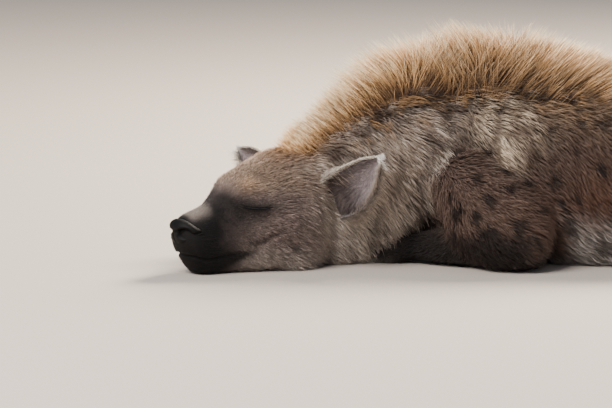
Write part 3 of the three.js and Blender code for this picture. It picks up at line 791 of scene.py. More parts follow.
def foldSide(p):
    # how far each point lies from the fold, seen from the side: behind it where positive
    squares = (p[:, None, ::2] - foldLine[None, :, ::2]) ** 2
    gap = p - foldLine[squares.sum(2).argmin(1)]
    return np.hypot(gap[:, 0], gap[:, 2]) * np.sign(gap[:, 0])


def ruffShare(p):
    front = foldSide(p)
    share = smooth(*ruff["front"], front) * smooth(*ruff["behind"], front)
    return share * smooth(*ruff["side"], np.abs(p[:, 1])) * smooth(*ruff["top"], p[:, 2])


ruffed = ruffShare(skinPoints)
hair["length"] += longer["ruff"] * ruffed
hair["lift"] += ruff["lift"] * ruffed
fringe = partOf("torso") * smooth(105, 40, skinPoints[:, 2]) * smooth(-10, 40, skinPoints[:, 0])
hair["length"] += longer["fringe"] * fringe
arms = partOf("upper_arm_left") + partOf("upper_arm_right")
hair["length"] += longer["armRear"] * arms * smooth(0, 50, skinPoints[:, 0])


# Colours, as screen colours. The same paint goes on the skin and, root by root, on the coat.
tones = {
    "flank": "5d4c43", "back": "957b62", "spot": "1f1613", "belly": "aea59e", "neck": "bfae9f",
    "throat": "d2c6ba", "leg": "100c0b", "upperArm": "6c574c", "thigh": "7b6453", "tail": "2b2019",
    "fold": "d5c7b8", "forehead": "96816f", "cheek": "80706a", "mask": "0d0b0b", "halfMask": "2e2726",
    "bridgePaleAndLit": "7d736d", "brow": "bf9d7b", "crown": "b8813f", "underCrown": "38271b", "rust": "694431",
    "underMane": "38291f", "streak": "f5e1c6", "maneRoot": "513a26", "maneMiddle": "cfa16c",
    "maneTip": "f6dfb9", "earCup": "9b8f8f", "earBack": "76665a", "earRimPaleAndLit": "f2e6d6", "earTip": "f6f2ea",
}
tones = {name: tone(code) for name, code in tones.items()}


def mix(colour, tint, share):
    return colour + (tint - colour) * np.clip(share, 0, 1)[:, None]


def blob(q, at, reach):
    return np.exp(-(((q - np.array(at)) / np.array(reach)) ** 2).sum(1))


# Spots on the near side follow the photo, and the rest are spread by chance over the sides and rump.
spots = {
    "tries": 3500, "least": 30, "radius": (8, 16), "strength": (0.65, 1.0), "lowest": 48, "belowCrest": 18,
    "ragged": 26, "raggedSize": 19, "room": 0.7, "edge": (1.15, 0.7), "reach": 40,
}
nearSpots = [
    (-116, 192), (-90, 154), (-63, 124), (-68, 72), (-78, 54), (-22, 82), (10, 196), (40, 150), (34, 235),
    (78, 204), (88, 128), (120, 240), (124, 170), (-140, 232), (-40, 214), (60, 268), (150, 108), (66, 82),
]


def makeSpots():
    chosen = []
    for x, z in nearSpots:
        far = np.hypot(skinPoints[:, 0] - x, skinPoints[:, 2] - z)
        chosen.append(skinPoints[np.where(skinPoints[:, 1] > -60, np.inf, far).argmin()])
    body = partOf("torso")
    for name in ("upper_arm_left", "upper_arm_right", "thigh_left", "thigh_right"):
        body = body + partOf(name)
    high = torsoTop(skinPoints[:, 0]) - spots["belowCrest"]
    onSides = (skinPoints[:, 2] > spots["lowest"]) & (skinPoints[:, 2] < high)
    for i in rng.choice(np.nonzero((body > 0.6) & onSides)[0], spots["tries"]):
        p = skinPoints[i]
        room = np.linalg.norm(np.array(chosen) - p, axis=1).min()
        if room > spots["least"] * (1 + spots["room"] * rng.random()):
            chosen.append(p)
    total = len(chosen)
    radii = rng.uniform(*spots["radius"], total)
    return np.array(chosen), radii, rng.uniform(*spots["strength"], total)


spotAt, spotRadius, spotStrength = makeSpots()


def spotShare(p):
    outer, inner = spots["edge"]
    warp = np.stack([softNoise(p, spots["raggedSize"], s) - 0.5 for s in (5, 6, 7)], -1) * spots["ragged"]
    share = np.zeros(len(p))
    for at, radius, strength in zip(spotAt, spotRadius, spotStrength):
        near = np.nonzero(np.abs(p - at).max(1) < spots["reach"])[0]
        far = np.linalg.norm(p[near] + warp[near] - at, axis=1)
        share[near] = np.maximum(share[near], strength * smooth(radius * outer, radius * inner, far))
    return share


# The height of the crest of the neck and back along the body.
crestOfNeck = ringPoints(neckForm, np.linspace(0.05, 0.8, 60), np.full(60, math.pi / 2))


def crestHeight(x):
    onNeck = np.interp(x, crestOfNeck[:, 0], crestOfNeck[:, 2])
    return np.where(x < -150, onNeck, np.maximum(torsoTop(x), np.where(x < -100, onNeck, 0)))


tailSteps = np.linspace(0, 1, 60)
tailPlaces = tailCentre(tailSteps)


def tailDark(p, batch=5000):
    # the tail is of the body's colour at its root and brown-black from a third of the way on
    out = np.zeros(len(p))
    near = np.nonzero((p[:, 0] > 520) & (p[:, 2] < 260))[0]
    for part in np.array_split(near, 1 + len(near) // batch):
        if len(part):
            i = np.linalg.norm(p[part][:, None] - tailPlaces[None], axis=2).argmin(1)
            out[part] = smooth(0.16, 0.42, tailSteps[i])
    return out


# What each form is coloured with, the patches of the face, and the crease behind the mouth.
# A patch is a tone, a strength, a middle on the head (x back, y out, z up) and a reach.
baseTones = {
    "torso": "flank", "head": "cheek", "neck": "neck", "tail": "flank", "upper_arm": "upperArm",
    "forearm": "leg", "fore_paw": "leg", "toe": "leg", "thigh": "thigh", "shank": "leg", "hind_paw": "leg",
}
facePatches = [
    ("mask", 0.9, (100, 50, 116), (22, 26, 15)),
    ("mask", 0.65, (134, 62, 110), (27, 28, 14)),
    ("mask", 0.85, (90, 24, 126), (15, 36, 16)),
    ("mask", 0.5, (112, 58, 96), (26, 28, 16)),
    ("brow", 0.65, (120, 46, 150), (15, 18, 9)),
    ("mask", 0.9, (114, 44, 150), (5, 9, 4)),
    ("mask", 0.9, (184, 86, 44), (6, 20, 6)),
]
# A dark line painted along the crease behind the mouth: painted shade in the crease.
for x, z in ((118, 54), (127, 57), (136, 61), (145, 65), (153, 69), (161, 73)):
    facePatches.append(("mask", 0.8, (x, 72, z), (6, 26, 2.8)))
# A pale band at the root of the ear's upper rim: pale hair with painted light from behind.
facePatches.append(("earRimPaleAndLit", 0.8, (238, 80, 172), (20, 26, 12)))


def paint(p, share):
    # colours at points p, given each point's share of every form
    part = {name: share[:, k] for k, name in enumerate(names)}

    def group(*starts):
        return sum(part[n] for n in names if n.startswith(starts))

    colour = sum(group(start)[:, None] * tones[name] for start, name in baseTones.items())

    def tint(name, amount):
        nonlocal colour
        colour = mix(colour, tones[name], amount)

    x, y, z = p.T
    wide = np.stack([x, np.abs(y), z], -1)
    neck, face, arm = group("neck"), group("head"), group("upper_arm")
    onBody = group("torso", "upper_arm", "thigh")
    trunk = group("torso", "neck")
    # body and legs
    tint("tail", group("tail") * tailDark(p))
    tint("back", onBody * smooth(110, 20, torsoTop(x) - z) * smooth(-60, 60, x))
    tint("rust", onBody * 0.6 * blob(wide, (130, 160, 110), (90, 80, 80)))
    behindElbow = group("torso") * smooth(10, 50, x) + arm * smooth(50, 74, x)
    tint("belly", smooth(118, 50, z) * smooth(420, 330, x) * behindElbow)
    shaded = np.maximum(smooth(88, 56, z) * smooth(36, -24, x), smooth(46, 16, z))
    tint("leg", arm * shaded * 0.9)
    # neck, streaks and the fur under the mane
    tint("throat", neck * smooth(150, 60, z) * 0.75)
    drawn = softNoise(p * np.array([1, 1, 0.3]), 11, 3)
    pale = 0.3 + 0.7 * smooth(0.35, 0.6, softNoise(p * np.array([1, 1, 0.35]), 14, 3))
    tint("fold", neck * 0.6 * smooth(0.5, 0.75, drawn))
    tint("spot", neck * 0.5 * smooth(0.42, 0.2, drawn))
    streaked = np.maximum(
        blob(wide, (-45, 105, 250), (60, 60, 46)), blob(wide, (-40, 125, 212), (26, 60, 42)),
    )
    tint("streak", trunk * 0.95 * pale * streaked)
    tint("spot", trunk * 0.6 * blob(wide, (-112, 105, 214), (26, 60, 46)))
    # under the crest the coat is darker, with golden patches: dark hair with painted shade under the
    # overhanging mane
    crest = crestHeight(x) - z
    under = trunk * smooth(78, 34, crest) * smooth(190, 60, x) * smooth(-350, -270, x)
    tint("underMane", under * (0.3 + 0.65 * smooth(0.25, 0.6, softNoise(p, 13, 61))))
    tint("maneMiddle", under * 0.5 * smooth(0.52, 0.72, softNoise(p, 10, 63)))
    ruffed = ruffShare(p)
    tint("fold", ruffed * smooth(0.3, 0.7, drawn) * 0.75)
    tint("spot", ruffed * smooth(0.4, 0.2, drawn) * 0.5)
    tint("spot", (onBody + 0.3 * neck) * spotShare(p))
    # the face
    q = toHead(p)
    back, up = q[:, 0], q[:, 2]
    h = np.stack([back, np.abs(q[:, 1]), up], -1)
    tint("forehead", face * smooth(118, 150, up) * smooth(90, 130, back))
    tint("throat", face * smooth(62, 22, up) * smooth(70, 140, back) * 0.55)
    edge = back + 14 * (softNoise(p, 9, 21) - 0.5) + 12 * (softNoise(p, 3, 22) - 0.5) - 0.12 * (up - 90)
    below = smooth(154, 112, up + 0.1 * back)
    tint("halfMask", face * 0.85 * smooth(148, 92, edge) * below)
    tint("mask", face * smooth(100, 66, edge) * below)
    # the top of the muzzle is paler: paler fur with a painted highlight from above
    bridgePaleAndLit = smooth(30, 14, h[:, 1]) * smooth(22, 34, back) * smooth(76, 60, back) * smooth(84, 97, up)
    tint("bridgePaleAndLit", face * bridgePaleAndLit * 0.85)
    tint("mask", face * smooth(46, 34, up) * smooth(20, 2, back - 58 - 1.6 * up) * 0.95)
    for name, strength, at, reach in facePatches:
        tint(name, face * strength * blob(h, at, reach))
    # the pale band at the root of the ear, streaked: pale hair with painted light from behind
    tint("earRimPaleAndLit", (face + neck) * 0.9 * pale * blob(h, (250, 78, 181), (26, 34, 13)))
    tint("crown", (face + neck) * 0.95 * blob(q, (228, 0, 204), (46, 56, 26)))
    tint("underCrown", (face + neck) * 0.85 * blob(h, (280, 52, 190), (32, 26, 14)))
    grizzle = face * smooth(100, 140, back) * (softNoise(p, 2.2, 31) - 0.5)
    bright = 1 + 0.9 * grizzle + 0.4 * (0.5 * softNoise(p, 34, 11) - 0.25)
    return np.clip(colour * bright[:, None], 0, 1)


def colourLayer(mesh, colours):
    layer = mesh.attributes.new("coatColour", "FLOAT_COLOR", "POINT")
    rows = np.hstack([colours, np.ones((len(colours), 1))])
    layer.data.foreach_set("color", rows.astype(np.float32).ravel())


def newMaterial(name, roughness, specular):
    material = bpy.data.materials.new(name)
    material.use_nodes = True
    shader = material.node_tree.nodes["Principled BSDF"]
    shader.inputs["Roughness"].default_value = roughness
    shader.inputs["Specular IOR Level"].default_value = specular
    return material, shader


def addTexture(material, kind, scale):
    # a texture on the object's own coordinates, and the output with the coat's colour
    nodes = material.node_tree.nodes
    place = nodes.new("ShaderNodeTexCoord")
    texture = nodes.new(kind)
    texture.inputs["Scale"].default_value = scale
    material.node_tree.links.new(place.outputs["Object"], texture.inputs["Vector"])
    colour = nodes.new("ShaderNodeAttribute")
    colour.attribute_name = "coatColour"
    return texture, colour.outputs["Color"]


def addBump(material, shader, height, strength, distance):
    relief = material.node_tree.nodes.new("ShaderNodeBump")
    relief.inputs["Strength"].default_value = strength
    relief.inputs["Distance"].default_value = distance
    material.node_tree.links.new(height, relief.inputs["Height"])
    material.node_tree.links.new(relief.outputs["Normal"], shader.inputs["Normal"])


grainShades = (0.72, 1.28)  # the darkest and the lightest grain of fur and skin


def paintedMaterial(name, roughness, sheen=0.0, bump=0.0, grain=260.0, shade=1.0, specular=0.25):
    material, shader = newMaterial(name, roughness, specular)
    nodes, links = material.node_tree.nodes, material.node_tree.links
    shader.inputs["Sheen Weight"].default_value = sheen
    fine, colour = addTexture(material, "ShaderNodeTexNoise", grain)
    fine.inputs["Detail"].default_value = 3
    spread = nodes.new("ShaderNodeMapRange")
    spread.inputs["To Min"].default_value = grainShades[0] * shade
    spread.inputs["To Max"].default_value = grainShades[1] * shade
    links.new(fine.outputs["Fac"], spread.inputs["Value"])
    shaded = nodes.new("ShaderNodeVectorMath")
    shaded.operation = "SCALE"
    links.new(colour, shaded.inputs[0])
    links.new(spread.outputs["Result"], shaded.inputs["Scale"])
    links.new(shaded.outputs["Vector"], shader.inputs["Base Color"])
    if bump:
        addBump(material, shader, fine.outputs["Fac"], bump, 0.001)
    return material


print("stage: colours")
furMaterial = paintedMaterial("hyenaFur", 0.6, sheen=0.05)
# The skin's paint is dimmed to 0.6 of the coat's: painted shade in the gaps between the tufts.
skinMaterial = paintedMaterial("hyenaSkin", 0.85, bump=0.6, grain=420, shade=0.6)
colourLayer(skin.data, paint(skinPoints, shares))
skin.data.materials.append(skinMaterial)
flesh = [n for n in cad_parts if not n.startswith(("claw", "eyelid", "ear", "nose"))]
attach(skin, "root")
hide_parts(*flesh)


# Tufts: closed three-sided blades that taper from a sunk root to a tip, with up to two joints between.
# "patch" is the size of a tuft on the unwrap.
tuft = {"taper": (1.0, 0.72, 0.46), "thick": 0.7, "turned": 0.25, "patch": 0.003}


def tuftFaces(rings):
    # the triangles of one tuft: root, sides and tip
    faces = [(0, 2, 1)]
    for k in range(rings - 1):
        for i in range(3):
            b, c = 3 * k + i, 3 * k + (i + 1) % 3
            faces += [(b, c, c + 3), (b, c + 3, b + 3)]
    last = 3 * (rings - 1)
    return np.array(faces + [(last + i, last + (i + 1) % 3, last + 3) for i in range(3)])


def makeTufts(name, joints, wide, out, colours, place):
    # joints is a list of points along each tuft, root first; place is each root's spot on the unwrap
    n, rings = len(joints[0]), len(joints) - 1
    per = 3 * rings + 1
    along = joints[1] - joints[0]
    across = unit(np.cross(along, rng.normal(0, tuft["turned"], (n, 3)) + out))
    flatOut = unit(np.cross(across, along))
    verts = []
    for joint, taper in zip(joints[:-1], tuft["taper"]):
        half = (wide * taper / 2)[:, None]
        verts += [joint - across * half, joint + across * half, joint + flatOut * half * tuft["thick"]]
    co = np.stack([*verts, joints[-1]], 1)
    co[:, :, 2] = np.maximum(co[:, :, 2], lowest["hair"])
    mesh = bpy.data.meshes.new(name)
    mesh.vertices.add(n * per)
    mesh.vertices.foreach_set("co", (co.reshape(-1, 3) * mm).astype(np.float32).ravel())
    loops = ((np.arange(n) * per)[:, None, None] + tuftFaces(rings)[None]).reshape(-1)
    mesh.loops.add(len(loops))
    mesh.loops.foreach_set("vertex_index", loops.astype(np.int32))
    mesh.polygons.add(len(loops) // 3)
    mesh.polygons.foreach_set("loop_start", np.arange(0, len(loops), 3, dtype=np.int32))
    mesh.update(calc_edges=True)
    corner = [(sideways, k / rings - 0.5) for k in range(rings) for sideways in (-0.5, 0.5, 0)]
    patch = place[:, None, :] + np.array([*corner, (0, 0.5)])[None] * tuft["patch"]
    patch = np.clip(patch.reshape(-1, 2), 0, 1)
    layer = mesh.uv_layers.new(name="OFBake")
    layer.data.foreach_set("uv", patch[loops].astype(np.float32).ravel())
    colourLayer(mesh, colours.reshape(-1, 3))
    mesh.materials.append(furMaterial)
    mesh.validate()
    piece = pieceOf(name, mesh)
    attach(piece, "root")


def shadeAlong(colours, levels):
    # a colour for every corner of a tuft: three for each joint and one for the tip
    rows = []
    for k, level in enumerate(levels):
        rows += [colours * level] * (1 if k == len(levels) - 1 else 3)
    return np.clip(np.stack(rows, 1), 0, 1)


# Coat: roots are spread over the skin by the spacing of each place.
coat = {
    "sunk": 1.2, "clump": 6, "pull": 0.36, "stray": 0.13, "short": 8, "most": 190000, "eye": (27, 16, 16),
    "quickSpacing": 2.2, "quickWidth": 1.9, "onFloor": 0.04, "lengths": (0.7, 1.2), "widths": (0.75, 1.3),
    "liftSpread": 6, "waves": ((46, 41, 1.1), (13, 42, 0.9)), "middle": (0.5, 0.78), "tipRise": 0.95,
    "patch": (0.74, 0.52), "grain": (0.17, 0.19),
}
# The parts of the coat, with the forms that each covers and its slot, and the shades from root to tip:
# dark roots as painted shade deep in the coat and light tips as painted light.
regions = {
    "face": (("head",), "face"), "neck": (("neck",), "mane"), "torso": (("torso",), "coat"),
    "foreLegs": (("upper_arm", "forearm", "fore_paw", "toe_fore"), "lower_legs"),
    "hindLegs": (("thigh", "shank", "hind_paw", "toe_hind"), "lower_legs"), "tail": (("tail",), "tail"),
}
shades = {"short": (0.7, 1.2), "long": (0.55, 0.92, 1.22)}


def spreadRoots(keep, block=12):
    # roots by triangle of the skin and weights of its corners, taken block by block so that none crowd
    skin.data.calc_loop_triangles()
    tri = np.empty(len(skin.data.loop_triangles) * 3, np.int32)
    skin.data.loop_triangles.foreach_get("vertices", tri)
    tri = tri.reshape(-1, 3)
    a, b, c = (skinPoints[tri[:, i]] for i in range(3))
    area = np.linalg.norm(np.cross(b - a, c - a), axis=1) / 2
    expected = area * (keep[tri].mean(1)) / hair["spacing"][tri].mean(1) ** 2
    column, row, level = (a // block).T
    order = np.lexsort((row, level, column))
    edges = np.cumsum(expected[order])
    total = int(edges[-1])
    draws = (np.arange(total) + rng.random(total)) * (edges[-1] / total)
    draws = np.minimum(draws, edges[-1] * 0.999999)
    chosen = order[np.searchsorted(edges, draws)]
    u, v = rng.random(total), rng.random(total)
    flip = u + v > 1
    u[flip], v[flip] = 1 - u[flip], 1 - v[flip]
    return tri[chosen], np.stack([1 - u - v, u, v], -1)


def blendAt(values, corners, weights):
    picked = values[corners]
    return (picked * (weights[..., None] if picked.ndim == 3 else weights)).sum(1)


def unwrapPlace(share, t, p):
    # each form has a strip of the unwrap, with its length one way and its girth the other
    k = share.argmax(1)
    u = np.zeros(len(p))
    v = np.zeros(len(p))
    for i in np.unique(k):
        m = k == i
        form = groom[names[i]]["form"]
        s = t[m, i]
        across, upward = form["frame"](s)
        out = p[m] - form["centre"](s)
        turn = np.arctan2((out * upward).sum(1), (out * across).sum(1))
        u[m] = s
        v[m] = turn / (2 * math.pi) + 0.5
    return u, v, k


def clumpTo(root, tip, size, pull):
    # tips lean together towards the tip of the nearest of a thinner set of hairs
    cell = max(1, int(size))
    leaders = rng.choice(len(root), max(1, len(root) // cell), replace=False)
    tree = kdtree.KDTree(len(leaders))
    for i, p in enumerate(root[leaders]):
        tree.insert(p, i)
    tree.balance()
    nearestLeader = leaders[np.array([tree.find(p)[1] for p in root])]
    share = pull * rng.uniform(0.6, 1.2, len(root))[:, None]
    return tip + (tip[nearestLeader] - tip) * share


def alongEar(p, form):
    # the share of the ear's length at which points lie, also before its root
    return (p - form["centre"](np.array([0.0]))) @ form["aim"] / earLength


bareCup = {"edge": 0.86, "before": -0.02, "behind": 15, "ahead": 20}


def inCup(p, form):
    # whether points lie in the hollow of an ear, where the coat doesn't grow
    ahead = alongEar(p, form)
    t = np.clip(ahead, 0, 1)
    own = p - form["centre"](t)
    u = own @ form["wide"] / form["half"](t)
    deep = own @ form["opening"]
    floorOfCup = -form["cup"](t) * np.sqrt(np.maximum(0, 1 - u * u))
    within = (np.abs(u) < bareCup["edge"]) & (ahead > bareCup["before"])
    return within & (deep > floorOfCup - bareCup["behind"]) & (deep < bareCup["ahead"])


def coatCover():
    # the share of the coat that grows at each point of the skin
    q = toHead(skinPoints)
    ofHead = (q[:, 0] < 330) & (np.abs(q[:, 1]) < 130)
    under = np.where(ofHead, skinOut[:, 2] < -0.9, (skinOut[:, 2] < -0.6) & (skinPoints[:, 2] < 16))
    keep = np.where(under, coat["onFloor"], 1)
    for side in (-1, 1):
        at, *ways = (a[0] for a in headPlaceFrame(*head["eye"], side))
        rel = skinPoints - at
        onEye = sum(((rel @ way) / reach) ** 2 for way, reach in zip(ways, coat["eye"]))
        keep *= smooth(0.5, 0.7, onEye)
    front, back = nose["span"]
    t = np.clip((q[:, 0] - front) / (back - front), 0, 1)
    above = q[:, 2] - slide(nose["height"], t)
    onNose = (q[:, 1] / noseSide(t)) ** 2 + (above / np.where(above > 0, noseUp(t), noseDown(t))) ** 2
    keep *= np.where(q[:, 0] < back, smooth(0.95, 1.15, onNose), 1)
    for form in ears.values():
        keep *= np.where(inCup(skinPoints, form), 0, 1)
    near = np.nonzero((q[:, 0] < 160) & (q[:, 2] < 70))[0]
    lipFar = np.full(len(skinPoints), farAway)
    lipFar[near] = nearest(skinPoints[near], mouthLine)
    return keep * smooth(1.2, 3.2, lipFar)


def growCoat():
    hair["spacing"] *= 1.0
    corners, weights = spreadRoots(coatCover())

    def at(values):
        return blendAt(values, corners, weights)

    root, out, way, share, t = at(skinPoints), unit(at(skinOut)), unit(at(lie)), at(shares), at(along)
    total = len(root)
    length = at(hair["length"]) * rng.uniform(*coat["lengths"], total)
    width = at(hair["width"]) * rng.uniform(*coat["widths"], total)
    lift = np.radians(at(hair["lift"]) + rng.normal(0, coat["liftSpread"], total))
    waves = sum((softNoise(root, size, seed) - 0.5) * by for size, seed, by in coat["waves"])
    swing = (waves * coat["stray"] * 4 + rng.normal(0, coat["stray"], total))[:, None]
    way = unit(way + np.cross(out, way) * swing)
    rise = (np.sin(lift) * length)[:, None]
    run = (np.cos(lift) * length)[:, None]
    foot = root - out * np.minimum(coat["sunk"], 0.3 * length)[:, None]
    middleRun, middleRise = coat["middle"]
    middle = root + way * run * middleRun + out * rise * middleRise
    tip = root + way * run + out * rise * coat["tipRise"]
    short = length < coat["short"]
    tip[~short] = clumpTo(root[~short], tip[~short], coat["clump"], coat["pull"])
    patch = coat["patch"][0] + coat["patch"][1] * softNoise(root, 7, 43)
    grain = coat["grain"][0] + coat["grain"][1] * share[:, names.index("head")]
    colours = paint(root, share) * (patch * (1 + rng.uniform(-1, 1, total) * grain))[:, None]
    u, v, k = unwrapPlace(share, t, root)
    triangles = 0
    for region, (starts, slot) in regions.items():
        mine = [i for i, n in enumerate(names) if n.startswith(starts)]
        for kind, levels in shades.items():
            rings = len(levels) - 1
            chosen = np.nonzero(np.isin(k, mine) & (short == (kind == "short")))[0]
            if len(chosen) == 0:
                continue
            chosen = chosen[np.argsort(root[chosen, 0], kind="stable")]
            faces = len(chosen) * len(tuftFaces(rings))
            for number, m in enumerate(np.array_split(chosen, math.ceil(faces / coat["most"]))):
                strip = np.array([mine.index(i) for i in k[m]])
                lowU, highU = u[m].min(), u[m].max() + 1e-6
                within = 0.02 + 0.96 * (u[m] - lowU) / (highU - lowU)
                place = np.stack([(strip + within) / len(mine), v[m]], -1)
                joints = [foot[m], tip[m]] if rings == 1 else [foot[m], middle[m], tip[m]]
                tint = shadeAlong(colours[m], levels)
                name = f"coat_{region}_{kind}_{number + 1}"
                makeTufts(name, joints, width[m], out[m], tint, place)
            print("coat", region, kind, len(chosen))
            triangles += faces
    print("triangles of the coat", triangles)


def bentHair(root, aim, length, bend, steps, sunk):
    # points along hairs that bend away from their first aim
    joints = [root + aim * (length * s)[:, None] + bend * s * s for s in steps]
    joints[0] = root - aim * sunk
    return joints


print("stage: coat")
growCoat()


# Mane: long hair that stands up along the crest and leans as the solids' locks do.
mane = {
    "count": 19000, "onNeck": 0.45, "width": 1.2, "outward": 0.35, "closer": 1.2, "shorter": 0.45,
    "bend": 0.34, "steps": (0, 0.38, 0.72, 1), "sunk": 4, "deep": 12, "clump": 5, "pull": 0.4,
    "bands": (29, 20), "dark": 0.22, "alongNeck": (0.08, 0.98), "alongBack": (0.1, 0.74),
    "widths": (0.7, 1.35), "widest": 2.3, "leanSpread": 0.1, "outSpread": 0.12, "stray": 0.08,
    "narrower": through((0.1, 1.35), (0.35, 1.1), (0.74, 0.8)),
    "length": through(
        (-400, 34), (-340, 44), (-290, 64), (-240, 84), (-180, 94), (-60, 94), (10, 76), (80, 60),
        (160, 54), (330, 46),
    ),
    "lean": through(
        (-400, 0.3), (-250, 0.37), (-120, 0.2), (-20, 0.07), (70, -0.18), (160, -0.78), (330, -1.56),
    ),
}


def growMane():
    total = mane["count"] // 1
    onNeck = rng.random(total) < mane["onNeck"]
    alongNeck, alongBack = (rng.uniform(*mane[key], total) for key in ("alongNeck", "alongBack"))
    t = np.where(onNeck, alongNeck, alongBack)
    offset = rng.normal(0, 1, total)
    root, middle, ahead = np.zeros((3, total, 3))
    angle = np.zeros(total)
    for form, m, band in zip((neckForm, torsoForm), (onNeck, ~onNeck), mane["bands"]):
        wide = band * (1 if form is neckForm else mane["narrower"](t[m]))
        wander = 0.7 + 0.7 * softNoise(np.stack([t[m], offset[m] > 0, 0 * t[m]], -1), 0.05, 54)
        aside = np.clip(offset[m], -mane["widest"], mane["widest"])
        angle[m] = np.radians(90 + aside * wide * wander)
        root[m] = ringPoints(form, t[m], angle[m], -mane["deep"])
        middle[m] = form["centre"](t[m])
        ahead[m] = -heading(form["centre"], t[m], 0.01)
    x = root[:, 0]
    out = unit(root - middle)
    fromCrest = np.abs(angle - math.pi / 2)
    sweep = (softNoise(root, 40, 51) - 0.5) * 0.35 - 0.5 * fromCrest * smooth(-300, -150, x)
    lean = mane["lean"](x) + sweep + rng.normal(0, mane["leanSpread"], total)
    outward = mane["outward"] - mane["closer"] * fromCrest + rng.normal(0, mane["outSpread"], total)
    aim = 0.9 * upAxis + out * outward[:, None] + ahead * lean[:, None]
    aim = unit(aim + rng.normal(0, mane["stray"], (total, 3)))
    full = mane["length"](x)
    length = full * np.maximum(0.3, 1 - mane["shorter"] * fromCrest) + mane["deep"]
    length = length * (0.5 + 0.56 * rng.beta(2.4, 1.2, total))
    bend = ahead * (np.sign(lean) * mane["bend"] * length)[:, None]
    joints = bentHair(root, aim, length, bend, mane["steps"], mane["sunk"])
    tip = clumpTo(root, joints[3], mane["clump"], mane["pull"])
    joints[2] = joints[2] + (tip - joints[3]) * 0.5
    joints[3] = tip
    bright = (0.55 + 0.75 * softNoise(root, 15, 52)) * rng.uniform(0.82, 1.15, total)
    # The mane's hair grows up to 1.6 times brighter towards the head: painted light from behind.
    bright = bright * (1 + 0.6 * smooth(-110, -220, x))
    bright = (bright * np.where(rng.random(total) < mane["dark"], 0.5, 1.05))[:, None]
    warm = smooth(-345, -385, x)[:, None]
    dull = smooth(0.85, 0.45, length / (full + mane["deep"]))[:, None]
    colours = []
    for i, name in enumerate(("maneRoot", "maneRoot", "maneMiddle", "maneTip")):
        own = (tones[name] + (tones["maneRoot"] * 1.3 - tones[name]) * dull * 0.55) * bright
        own = own + (tones["crown"] * (0.55 + 0.25 * i) - own) * warm * 0.55
        colours += [own] * (1 if i == 3 else 3)
    colours = np.clip(np.stack(colours, 1), 0, 1)
    width = mane["width"] * rng.uniform(*mane["widths"], total)
    width = width * 1
    place = np.stack([np.where(onNeck, t * 0.48, 0.52 + t * 0.46), angle / math.pi], -1)
    across = np.cross(ahead, aim)
    even = np.arange(total) % 2 == 0
    for part, m in (("neck", onNeck & even), ("nape", onNeck & ~even), ("back", ~onNeck)):
        own = [joint[m] for joint in joints]
        makeTufts(f"mane_{part}", own, width[m], across[m], colours[m], place[m])


print("stage: mane")
growMane()


# Brush: long dark hair that runs on past the end of the tail.
brush = {
    "count": 2600, "length": (60, 96), "width": 2.0, "outward": 0.3, "bend": 0.18,
    "steps": (0, 0.35, 0.7, 1), "sunk": 3, "deep": 11, "clump": 6, "pull": 0.3,
    # shades from root to tip: dark roots as painted shade deep in the brush, light tips as painted light
    "shades": (0.6, 0.9, 1.1, 1.4),
}


def growBrush():
    total = brush["count"]
    t = rng.uniform(0.55, 0.99, total) ** 0.8
    angle = rng.uniform(-math.pi, math.pi, total)
    root = ringPoints(tailForm, t, angle, -brush["deep"])
    centre = tailForm["centre"](t)
    ahead = unit(centre - tailForm["centre"](t - 0.02))
    out = unit(root - centre)
    length = rng.uniform(*brush["length"], total) * (0.7 + 0.3 * t)
    aim = unit(ahead + out * (brush["outward"] + rng.normal(0, 0.08, total))[:, None])
    bend = (ahead - out) * (brush["bend"] * length)[:, None]
    joints = bentHair(root, aim, length, bend, brush["steps"], brush["sunk"])
    joints[3] = clumpTo(root, joints[3], brush["clump"], brush["pull"])
    colours = shadeAlong(tones["tail"] * rng.uniform(0.6, 1.5, (total, 1)), brush["shades"])
    place = np.stack([t, angle / (2 * math.pi) + 0.5], -1)
    width = brush["width"] * rng.uniform(0.7, 1.3, total)
    makeTufts("brush", joints, width, out, colours, place)


print("stage: brush")
growBrush()


# Ears: a thin cup with short hair outside, long hair inside and a pale fringe along the rim, paler along
# the upper rim and on the far ear as painted light from behind.
earShape = {"across": 28, "lengthwise": 40, "sheet": 0.4, "wall": 2.2}
# Each face of the cup: its count of hairs, its depth in the wall, and the hairs' width, shades and length,
# which runs from the root of the ear to its tip; the rim's upper and lower hair is longer near the root.
earFaces = {
    "inner": {"count": 4200, "depth": 0.25, "width": 0.9, "shades": (0.55, 1.45), "long": (25, 13)},
    "outer": {"count": 2600, "depth": 0.6, "width": 1.1, "shades": (0.8, 1.2), "long": (12, 8)},
    "rim": {"count": 2400, "depth": 0.4, "width": 0.9, "shades": (0.8, 1.2), "long": ((6, 11), (14, 9))},
}
earHair = {
    "widest": 0.98, "rim": (0.9, 1.0), "along": (-0.02, 0.985), "stray": 0.13, "sunk": 0.8,
    "lengths": (0.7, 1.2), "widths": (0.7, 1.3),
}


def earSheet(form, u, t, share):
    # a point on the cup: u runs from edge to edge, and share from the inner face (0) to the outer (1)
    deep = form["cup"](t) + form["wall"](t) * share
    high = np.sqrt(np.maximum(0, 1 - u * u))
    p = form["centre"](t) + form["wide"] * (u * (form["half"](t) - 3 * (1 - share)))[:, None]
    return p - form["opening"] * (deep * high)[:, None]


